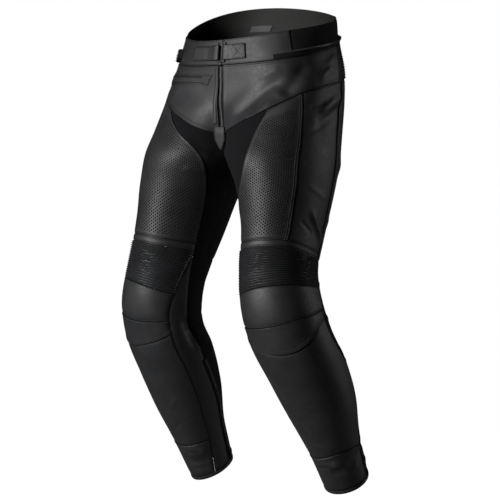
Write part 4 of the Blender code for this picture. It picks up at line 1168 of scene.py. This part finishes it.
def build_buckle():
    """The rectangular ring between the waist strap and its anchor tab."""
    origin = bare_skin(LEFT, 0.0, BUCKLE_DOWN) * [0, 1, 1]
    up = bare_skin(LEFT, 0.0, BUCKLE_DOWN - 15) - bare_skin(LEFT, 0.0, BUCKLE_DOWN + 15)
    up = up / np.linalg.norm(up) * [0, 1, 1]
    out = np.cross([1, 0, 0], up)
    lift = BUCKLE_LIFT - BUCKLE_BAR / 2
    place = origin + (np.array([BUCKLE_CENTRE_X, 0, 0]) + out * lift) * MM
    lean = math.atan2(up[2], up[1])
    bpy.ops.mesh.primitive_plane_add(size=1, location=place, rotation=(lean, 0, 0))
    ring = bpy.context.active_object
    ring.name = "waist_buckle_ring"
    ring.scale = (2 * BUCKLE_HALF_WIDTH * MM, 2 * BUCKLE_HALF_HEIGHT * MM, 1)
    bpy.ops.object.transform_apply(location=True, rotation=True, scale=True)
    bpy.ops.object.mode_set(mode="EDIT")
    bpy.ops.mesh.select_all(action="SELECT")
    bpy.ops.mesh.inset(thickness=BUCKLE_BAR * MM)
    bpy.ops.mesh.delete(type="FACE")
    bpy.ops.mesh.select_all(action="SELECT")
    bpy.ops.mesh.extrude_region_move(TRANSFORM_OT_translate={"value": tuple(out * BUCKLE_BAR * MM)})
    bpy.ops.mesh.select_all(action="SELECT")
    bpy.ops.mesh.normals_make_consistent(inside=False)
    bpy.ops.object.mode_set(mode="OBJECT")
    rounded = ring.modifiers.new("rounded", "BEVEL")
    rounded.width = BUCKLE_ROUND * MM
    rounded.segments = 3
    bpy.ops.object.modifier_apply(modifier="rounded")
    bpy.ops.object.shade_smooth_by_angle(angle=math.radians(40))
    ring.data.materials.append(finishes["plastic"])
    finish_piece(ring, "buckle_plastic", "waist_buckle")


CONNECTION_ENDS = {LEFT: level(137), RIGHT: level(150)}
CONNECTION_TOP = 44.0
CONNECTION_LIFT = 2.4
CONNECTION_LEAN = 3.0           # how much further its free upper edge stands off
TAPE_END_TURN = 143.0
TAPE_END_SWEEP = 0.10           # degrees that it turns back for each mm that it stands out
TAPE_END_HALF_WALL = 0.7
TAPE_END_COLUMNS = ("out", "top", "foot")
TAPE_END_ROWS = ((2.6, 27, 54), (5, 25, 55), (8, 25, 55), (11, 27, 54))
HALF_TOOTH = ((-0.55, -1.4, -0.2), (0.55, -1.4, -0.2), (0.4, 1.5, -0.2), (-0.4, 1.5, -0.2),
              (-0.55, -1.4, 1.0), (0.55, -1.4, 1.0), (0.4, 1.5, 1.0), (-0.4, 1.5, 1.0))
MOULDED_TOOTH = tuple((x * 1.6, y * 1.25, z * 1.7) for x, y, z in HALF_TOOTH)
MOULDED_PITCH = 4.2
COIL_PITCH = 2.3
COIL_APART = 0.9                # from the zip's middle to a row of teeth's own middle
BOX_FACES = ((0, 3, 2, 1), (4, 5, 6, 7), (0, 1, 5, 4), (1, 2, 6, 5), (2, 3, 7, 6), (3, 0, 4, 7))


def row_of_teeth(points, normals):
    places_of_teeth = along_line(points, normals, MOULDED_PITCH)
    teeth["torso"].add(*repeat_shape(MOULDED_TOOTH, BOX_FACES, *places_of_teeth))


def build_connection_zip(torso):
    """Half a zip round the back of the waist, and its folded-out end."""
    tape = cut_across(False, CONNECTION_ENDS, level(CONNECTION_TOP), BAND_FOOT)
    near = tape.distances()
    lean = CONNECTION_LEAN * near["s"] / (near["s"] + near["n"])
    make("connection_zip_tape", tape, "tape", wall=1.0, lift=CONNECTION_LIFT, relief=lean, dip=0.3,
         puff=0.0)
    topstitch(torso, tape, s=[2.4])
    row_of_teeth(*seam_line(tape, "n", 1.0, 0.1))
    end = by_column(TAPE_END_COLUMNS, TAPE_END_ROWS)
    away = np.linspace(0.6, end["out"][-1], 12)[None, :]
    top, foot = (np.interp(away[0], end["out"], end[edge])[None, :] for edge in ("top", "foot"))
    part = np.linspace(0, 1, 16)[:, None]
    down = top + (foot - top) * part
    wall = np.degrees(TAPE_END_HALF_WALL / section_at(BAND_HEIGHT)["half_width"])
    curl = 1.2 * np.sin(part * 5.0) * (away - end["out"][0]) / 8
    turn = TAPE_END_TURN + away * TAPE_END_SWEEP + curl
    outer, inner = (skin(RIGHT, turn + reach, down, away) for reach in (wall, -wall))
    uv = np.stack([away + part * 0, down], axis=-1) * MM
    obj = shell("zip_tape_end_cloth", outer, inner, LEFT, finishes["tape"], uv)
    finish_piece(obj, "zip_tape", "zip_tape_end")
    edge = (outer[:, -1] + inner[:, -1]) / 2
    facing = np.repeat(outward(RIGHT, TAPE_END_TURN, 40.0)[None, :], len(edge), axis=0)
    row_of_teeth(edge, facing)


FLY_GAP = 4.6
FLY_TOP = 58
FLY_FOOT = 207
PLACKET_EDGES = (6.2, 17)       # from the centre front
FLY_TAB_COLUMNS = ("down", "half_width", "lift")
FLY_TAB_ROWS = ((208, 14.5, 10.5), (216, 14.8, 11.5), (226, 15, 13.3), (236, 14.5, 15.3),
                (246, 8, 10.0), (255, 1.5, 6.0))


def build_hips():
    torso = threads["torso"]
    for side, label in SIDE_NAMES.items():
        hip = cut_piece(side, (from_centre(FLY_GAP + 1), YOKE_FRONT, BAND_FOOT, HIP_SEAM))
        make(f"hip_front_{label}", hip, laps="swe")
        topstitch(torso, hip, n=[3.0, 8.0], s=[STITCH_ROW, 7.6], e=[STITCH_ROW], w=[3.0])
    yoke = cut_across(False, both(YOKE_FRONT), BAND_FOOT, HIP_SEAM, rows=YOKE_RIBS * 8)
    relief = rib_relief(yoke, YOKE_RIBS, YOKE_RIB_HEIGHT + YOKE_EXTRA_HEIGHT)
    make("back_yoke_accordion", yoke, "rib", relief=relief, puff=0.0, dip=0.3)
    build_fly(torso)
    build_pocket()


POCKET_TURNS = (86, 154)
POCKET_RIM = 4.5                # how far the pocket's patch reaches past its two slits
POCKET_SLITS = ((POCKET_TOP, 96), (POCKET_FOOT, 91))    # line, and the turn of its inner end
SLIT_DEPTH = 0.7
SLIT_HALF_WIDTH = 1.5
LIP_HEIGHT = 0.9
LIP_OFFSET = 3.0                # from the slit's middle to the crest of the lip below it
LIP_WIDTH = 1.1


def build_pocket():
    """The patch of the right hip pocket, with its two curved slits, painted dark as shade in their
    openings, and their raised lips.
    """
    west, east = POCKET_TURNS
    seams = (level(west - 2), level(east + 3), lambda turn: POCKET_TOP(turn) - POCKET_RIM,
             lambda turn: POCKET_FOOT(turn) + POCKET_RIM)
    patch = cut_piece(RIGHT, seams, rows=64, step=1.6, gap=PATCH_GAP)
    cut = np.zeros(patch.turn.shape)
    lip = np.zeros(patch.turn.shape)
    for line, inner_end in POCKET_SLITS:
        off = patch.down - line(patch.turn)
        reach = np.clip((patch.turn - inner_end) / 2, 0, 1) * np.clip((east - patch.turn) / 2, 0, 1)
        cut = np.maximum(cut, reach * np.exp(-(off / SLIT_HALF_WIDTH)**4))
        lip = np.maximum(lip, reach * bell(off - LIP_OFFSET, LIP_WIDTH))
    # the slits are painted near black with no shine: painted shade in the slit openings
    make("pocket_welt", patch, wall=0.8, lift=2.4, dip=2.2, dip_width=3.0, puff=0.0,
         relief=LIP_HEIGHT * lip - SLIT_DEPTH * cut, marks={"shade_and_edge_paint": cut})


def build_fly(torso):
    fly = cut_across(True, both(from_centre(FLY_GAP)), level(FLY_TOP), level(FLY_FOOT + 6))
    make("fly_zip", fly, "tape", wall=1.0, lift=-0.6, dip=0.0, puff=0.0)
    middle = fly.right_half.sum()
    teeth["torso"].add(*zip_chain(fly.outer[:, middle], fly.face_normal[:, middle]))
    near, far = (from_centre(edge) for edge in PLACKET_EDGES)
    placket = cut_piece(RIGHT, (near, far, level(FLY_TOP), level(FLY_FOOT - 2)), step=2.2, gap=PATCH_GAP)
    make("fly_placket", placket, wall=0.9, lift=2.6, dip=1.8, dip_width=1.6, puff=0.4)
    topstitch(torso, placket, w=[2.8], e=[STITCH_ROW])
    build_fly_tab(torso)


FLY_TAB_STRAIGHT = 230          # from here down it stands straight off the curve of the body
FLY_TAB_ROUND = 1.6             # rounding of its upper corners


def build_fly_tab(torso):
    """The pointed patch that closes the foot of the fly: stiff, so it stays flat across."""
    tab = by_column(FLY_TAB_COLUMNS, FLY_TAB_ROWS)
    down = np.linspace(tab["down"][0], tab["down"][-1], 26)
    half_width, lift = (np.interp(down, tab["down"], tab[size]) for size in ("half_width", "lift"))
    half_width = half_width - FLY_TAB_ROUND * bell(down - down[0], FLY_TAB_ROUND)
    middle = bare_skin(LEFT, 0.0, down) * [0, 1, 1]
    slope = np.gradient(middle, axis=0)
    out = unit(np.stack([np.zeros(len(slope)), slope[:, 2], -slope[:, 1]], axis=-1))[:, None, :]
    place = places(2 * tab["half_width"].max(), 2.0) * 2 - 1
    width = half_width[:, None] * place[None, :]
    across = np.stack([width, width * 0, width * 0], axis=-1) * MM
    line = middle + out[:, 0] * lift[:, None] * MM
    straight_from = np.searchsorted(down, FLY_TAB_STRAIGHT)
    onward = np.arange(len(down) - straight_from)[:, None] + 1
    step = line[straight_from - 1] - line[straight_from - 2]
    line[straight_from:] = line[straight_from - 1] + step * onward
    out[straight_from:] = out[straight_from - 1]
    base = line[:, None, :] + across
    panel = Panel(LEFT, width / UV_PER_DEGREE, down[:, None] + width * 0, base,
                  np.broadcast_to(out, base.shape))
    panel.right_half = np.zeros(len(place), dtype=bool)
    panel.folded = False
    make("fly_end_tab", panel, wall=1.6, dip=0.9, dip_width=1.2, puff=0.3)
    topstitch(torso, panel, n=[3.0], w=[2.4], e=[2.4])


def zip_chain(points, normals):
    """Two rows of teeth that mesh along a closed zip."""
    middle, along, out = along_line(points, normals, COIL_PITCH)
    across = np.cross(out, along) * COIL_APART
    left = repeat_shape(HALF_TOOTH, BOX_FACES, middle - across * MM, along, out)
    mirrored = [(x, -y, z) for x, y, z in HALF_TOOTH]
    turned = [face[::-1] for face in BOX_FACES]
    right = repeat_shape(mirrored, turned, middle + (across + along * COIL_PITCH / 2) * MM, along, out)
    both_rows = np.concatenate([left[0], right[0]])
    return both_rows, left[1] + [[i + len(left[0]) for i in face] for face in right[1]]


PLAIN_MARGINS = {"w": 9, "e": 12, "n": 24, "s": 8}      # round the perforated field (mm)


def build_leg(side):
    label = SIDE_NAMES[side]
    sewing = threads[label + "_leg"]
    edge = STRETCH_EDGE[side]
    row, far_row = STITCH_ROW, STITCH_ROW + 5

    def seat_edge(down):
        return np.where(down < SEAT_SEAM_END, back_limit(down), GUSSET_BACK(down))

    def gusset_back(down):
        return np.where(back_limit(down) < 360, back_limit(down), INSEAM(down) + 360)

    def gusset_front(down):
        return np.where(front_limit(down) > 0, front_limit(down), INSEAM(down))

    gusset = cut_piece(side, (gusset_front, edge, HIP_SEAM, KNEE_BACK_SEAM))
    make(f"inner_thigh_front_{label}", gusset, "stretch", dip=0.6, lift=-0.5)
    gusset = cut_piece(side, (seat_edge, gusset_back, level(SEAT_GUSSET_DOWN), KNEE_BACK_SEAM))
    make(f"inner_thigh_back_{label}", gusset, "stretch", dip=0.6, lift=-0.5)
    thigh = cut_piece(side, (edge, THIGH_SEAM, HIP_SEAM, STRIP_TOP))
    near = thigh.distances()
    margin = np.min([near[way] - plain for way, plain in PLAIN_MARGINS.items()], axis=0)
    make(f"thigh_front_{label}", thigh, "perforated", laps="we",
         marks={"perforated": np.clip(margin / 2, 0, 1)},
         uv=np.stack([-near["e"], thigh.down], axis=-1) * MM)
    topstitch(sewing, thigh, w=[row], n=[row], e=[row, 7.4])
    outer = cut_piece(side, (THIGH_SEAM, REAR_SEAM, HIP_SEAM, STRIP_TOP))
    make(f"thigh_side_{label}", outer)
    topstitch(sewing, outer, w=[row], n=[row], e=[row])
    seat = cut_piece(side, (REAR_SEAM, seat_edge, HIP_SEAM, KNEE_BACK_SEAM))
    make(f"seat_thigh_{label}", seat, laps="w")
    topstitch(sewing, seat, w=[row], n=[row, far_row], e=[row])
    strip = cut_piece(side, (edge, REAR_SEAM, STRIP_TOP, ACCORDION_TOP), step=2.2)
    make(f"above_knee_strip_{label}", strip, puff=0.3)
    topstitch(sewing, strip, n=[row], s=[row])
    build_knee(side, label, sewing)
    build_lower_leg(side, label, sewing)


def build_knee(side, label, sewing):
    accordion = cut_piece(side, (KNEE_INNER, KNEE_OUTER, ACCORDION_TOP, ACCORDION_FOOT),
                          rows=KNEE_RIBS * 7, columns=86)
    relief = rib_relief(accordion, KNEE_RIBS, KNEE_RIB_HEIGHT)
    make(f"knee_accordion_{label}", accordion, "rib", relief=relief, puff=0.0, dip=0.5)
    cup = cut_piece(side, (KNEE_INNER, KNEE_OUTER, ACCORDION_FOOT, CUP_SEAM))
    make(f"knee_cup_{label}", cup, lift=0.6, puff=1.2, laps="n")
    topstitch(sewing, cup, n=[STITCH_ROW], s=[STITCH_ROW])
    crescent = cut_piece(side, (KNEE_INNER, KNEE_OUTER, CUP_SEAM, CRESCENT_FOOT))
    make(f"knee_crescent_{label}", crescent, lift=0.6, laps="ns")
    topstitch(sewing, crescent, n=[STITCH_ROW], s=[STITCH_ROW, 7.0])


def build_lower_leg(side, label, sewing):
    row = STITCH_ROW
    shin = cut_piece(side, (KNEE_INNER, KNEE_OUTER, CRESCENT_FOOT, ANKLE_SEAM))
    make(f"shin_{label}", shin, laps="we")
    topstitch(sewing, shin, w=[row], e=[row], s=[row])
    cuff = cut_piece(side, (KNEE_INNER, KNEE_OUTER, ANKLE_SEAM, CUFF_FOOT))
    make(f"ankle_cuff_{label}", cuff, laps="n")
    topstitch(sewing, cuff, n=[row], s=[3.0])
    calf = cut_piece(side, (ZIP_LINE, KNEE_INNER, INNER_CALF_TOP, CUFF_FOOT))
    make(f"inner_calf_{label}", calf)
    topstitch(sewing, calf, w=[9.5], e=[row])
    stretch = cut_piece(side, (KNEE_OUTER, lambda down: ZIP_LINE(down) + 360, KNEE_BACK_SEAM, CUFF_FOOT))
    make(f"calf_stretch_{label}", stretch, "stretch", dip=0.6, lift=-0.5)
    build_calf_zip(side, label, sewing)
    build_hem(side, label)


CALF_ZIP_TOP = 757
CALF_ZIP_FOOT = 1012
CALF_TAPE_HALF = 7.0
SLIDER_DOWN = 992.0


def build_calf_zip(side, label, sewing):
    """The inner calf's closed zip on its tape; the slider and its pull come with the part."""
    def beside_zip(sign):
        return lambda down: ZIP_LINE(down) + sign * degrees_for(CALF_TAPE_HALF, down)

    seams = (beside_zip(-1), beside_zip(1), level(CALF_ZIP_TOP), level(CALF_ZIP_FOOT))
    tape = cut_piece(side, seams, step=2.4, gap=PATCH_GAP)
    make(f"calf_zip_tape_{label}", tape, "tape", wall=1.0, lift=2.4, dip=0.4, puff=0.0)
    topstitch(sewing, tape, w=[2.0], e=[2.0])
    down = np.linspace(CALF_ZIP_TOP + 2, SLIDER_DOWN - 6, 140)
    line = skin(side, ZIP_LINE(down), down, 2.3)
    teeth[label + "_leg"].add(*zip_chain(line, outward(side, ZIP_LINE(down), down)))


def build_hem(side, label):
    """The bound edge: a strip folded over the end of the leg."""
    turn = np.linspace(0, 360, 121)[:-1]
    top = HEM_DOWN - HEM_BINDING_HEIGHT
    profile = ((top + 0.2, -0.2), (top + 0.6, 0.7), (top + 2.2, 1.1), (top + 5.4, 1.1),
               (HEM_DOWN - 0.9, 0.8), (HEM_DOWN - 0.2, -0.2), (HEM_DOWN - 0.2, -1.8),
               (HEM_DOWN - 0.9, -2.6), (top + 5.0, -2.6), (top + 0.6, -2.4))
    rings = np.stack([skin(side, turn, np.full(len(turn), down), lift) for down, lift in profile])
    count, columns = rings.shape[:2]
    faces = []
    for k in range(count):
        for j in range(columns):
            here, below = k * columns, ((k + 1) % count) * columns
            beside = (j + 1) % columns
            face = [here + j, below + j, below + beside, here + beside]
            faces.append(face if side > 0 else face[::-1])
    obj = new_mesh_object(f"hem_binding_{label}_cloth", rings.reshape(-1, 3), faces, finishes["leather"])
    finish_piece(obj, "leather", f"hem_binding_{label}")


def dress_hard_parts():
    """The sliders, lugs and pulls keep their CAD shapes and get the dark metal finish."""
    for side in SIDE_NAMES.values():
        for piece in ("calf_zip_slider", "calf_zip_lug", "calf_zip_pull"):
            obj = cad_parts[f"{piece}_{side}"]
            obj.data.materials.clear()
            obj.data.materials.append(finishes["metal"])


# ---------------------------------------------------------------- studio
CAMERA_AZIMUTH = 42.0
CAMERA_ELEVATION = 3.0
CAMERA_DISTANCE = 8.0
AIM = (0.0, 0.0, -0.47)
FRAME_WIDTH = 1.07              # metres across the picture at the aim point
PICTURE_SIDE = 500
AIM_PIXEL = (260.5, 245.5)      # where the aim point lies in the picture
SENSOR = 36
FLOOR_HEIGHT = -1.25
ROOM_LIGHT = 0.020              # how bright the white room is, apart from its lamps
LIGHT_COLUMNS = ("name", "azimuth", "elevation", "distance", "size", "power", "spread")
LIGHTS = (
    ("key", -17, 14, 3.4, (1.1, 1.6), 22, 70),
    ("rim", 142, 12, 3.0, (0.3, 2.0), 2.4, 70),
)


def away_from_middle(azimuth, elevation):
    """The direction from the garment's middle to a lamp or the camera."""
    a, e = math.radians(azimuth), math.radians(elevation)
    return Vector((math.sin(a) * math.cos(e), -math.cos(a) * math.cos(e), math.sin(e)))


def build_camera():
    back = away_from_middle(CAMERA_AZIMUTH, CAMERA_ELEVATION)
    turned = math.radians(CAMERA_AZIMUTH)
    right = Vector((math.cos(turned), math.sin(turned), 0))
    up = back.cross(right)
    scale = FRAME_WIDTH / PICTURE_SIDE
    aside = (PICTURE_SIDE / 2 - AIM_PIXEL[0]) * scale
    raised = (AIM_PIXEL[1] - PICTURE_SIDE / 2) * scale
    camera = bpy.data.objects.new("studio_camera", bpy.data.cameras.new("studio_camera"))
    bpy.context.scene.collection.objects.link(camera)
    camera.data.sensor_width = SENSOR
    camera.data.lens = SENSOR * CAMERA_DISTANCE / FRAME_WIDTH
    camera.data.clip_end = 60
    place = Vector(AIM) + right * aside + up * raised + back * CAMERA_DISTANCE
    axes = Matrix((right, up, back)).transposed()
    camera.matrix_world = Matrix.Translation(place) @ axes.to_4x4()
    bpy.context.scene.camera = camera


def soft_light(name, azimuth, elevation, distance, size, power, spread):
    """A large soft light that looks at the garment's middle; spread in degrees."""
    back = away_from_middle(azimuth, elevation)
    data = bpy.data.lights.new(name, "AREA")
    data.shape = "RECTANGLE"
    data.size, data.size_y = size
    data.energy = power
    data.spread = math.radians(spread)
    light = bpy.data.objects.new(name, data)
    bpy.context.scene.collection.objects.link(light)
    light.location = Vector(AIM) + back * distance
    light.rotation_euler = back.to_track_quat("Z", "Y").to_euler()


def build_studio():
    world = bpy.data.worlds.new("studio")
    bpy.context.scene.world = world
    world.use_nodes = True
    backdrop = world.node_tree.nodes["Background"]
    backdrop.inputs["Color"].default_value = (1, 1, 1, 1)
    seen = world.node_tree.nodes.new("ShaderNodeLightPath").outputs["Is Camera Ray"]
    strength = blend_range(world.node_tree, seen, ROOM_LIGHT, 1.0)
    world.node_tree.links.new(strength, backdrop.inputs["Strength"])
    floor_material, tree, shader = node_material("pale_floor", (0.35, 0.35, 0.35), 0.9)
    shader.inputs["Specular IOR Level"].default_value = 0.1
    shader.inputs["Emission Color"].default_value = (1, 1, 1, 1)
    seen = tree.nodes.new("ShaderNodeLightPath").outputs["Is Camera Ray"]
    tree.links.new(seen, shader.inputs["Emission Strength"])
    bpy.ops.mesh.primitive_plane_add(size=40, location=(0, 0, FLOOR_HEIGHT))
    floor = bpy.context.active_object
    floor.name = "studio_floor"
    floor.data.materials.append(floor_material)
    for row in LIGHTS:
        soft_light(**dict(zip(LIGHT_COLUMNS, row)))
    view = bpy.context.scene.view_settings
    view.view_transform = "Standard"
    view.look = "None"


def main():
    for obj in bpy.context.selected_objects:
        obj.select_set(False)
    build_waist()
    build_hips()
    for side in SIDE_NAMES:
        build_leg(side)
    dress_hard_parts()
    for place, bundle in threads.items():
        bundle.make(place + "_stitching", finishes["thread"], "leather")
    for place, bundle in teeth.items():
        bundle.make(place + "_zip_teeth", finishes["teeth"], "dark_metal")
    build_camera()
    build_studio()


main()
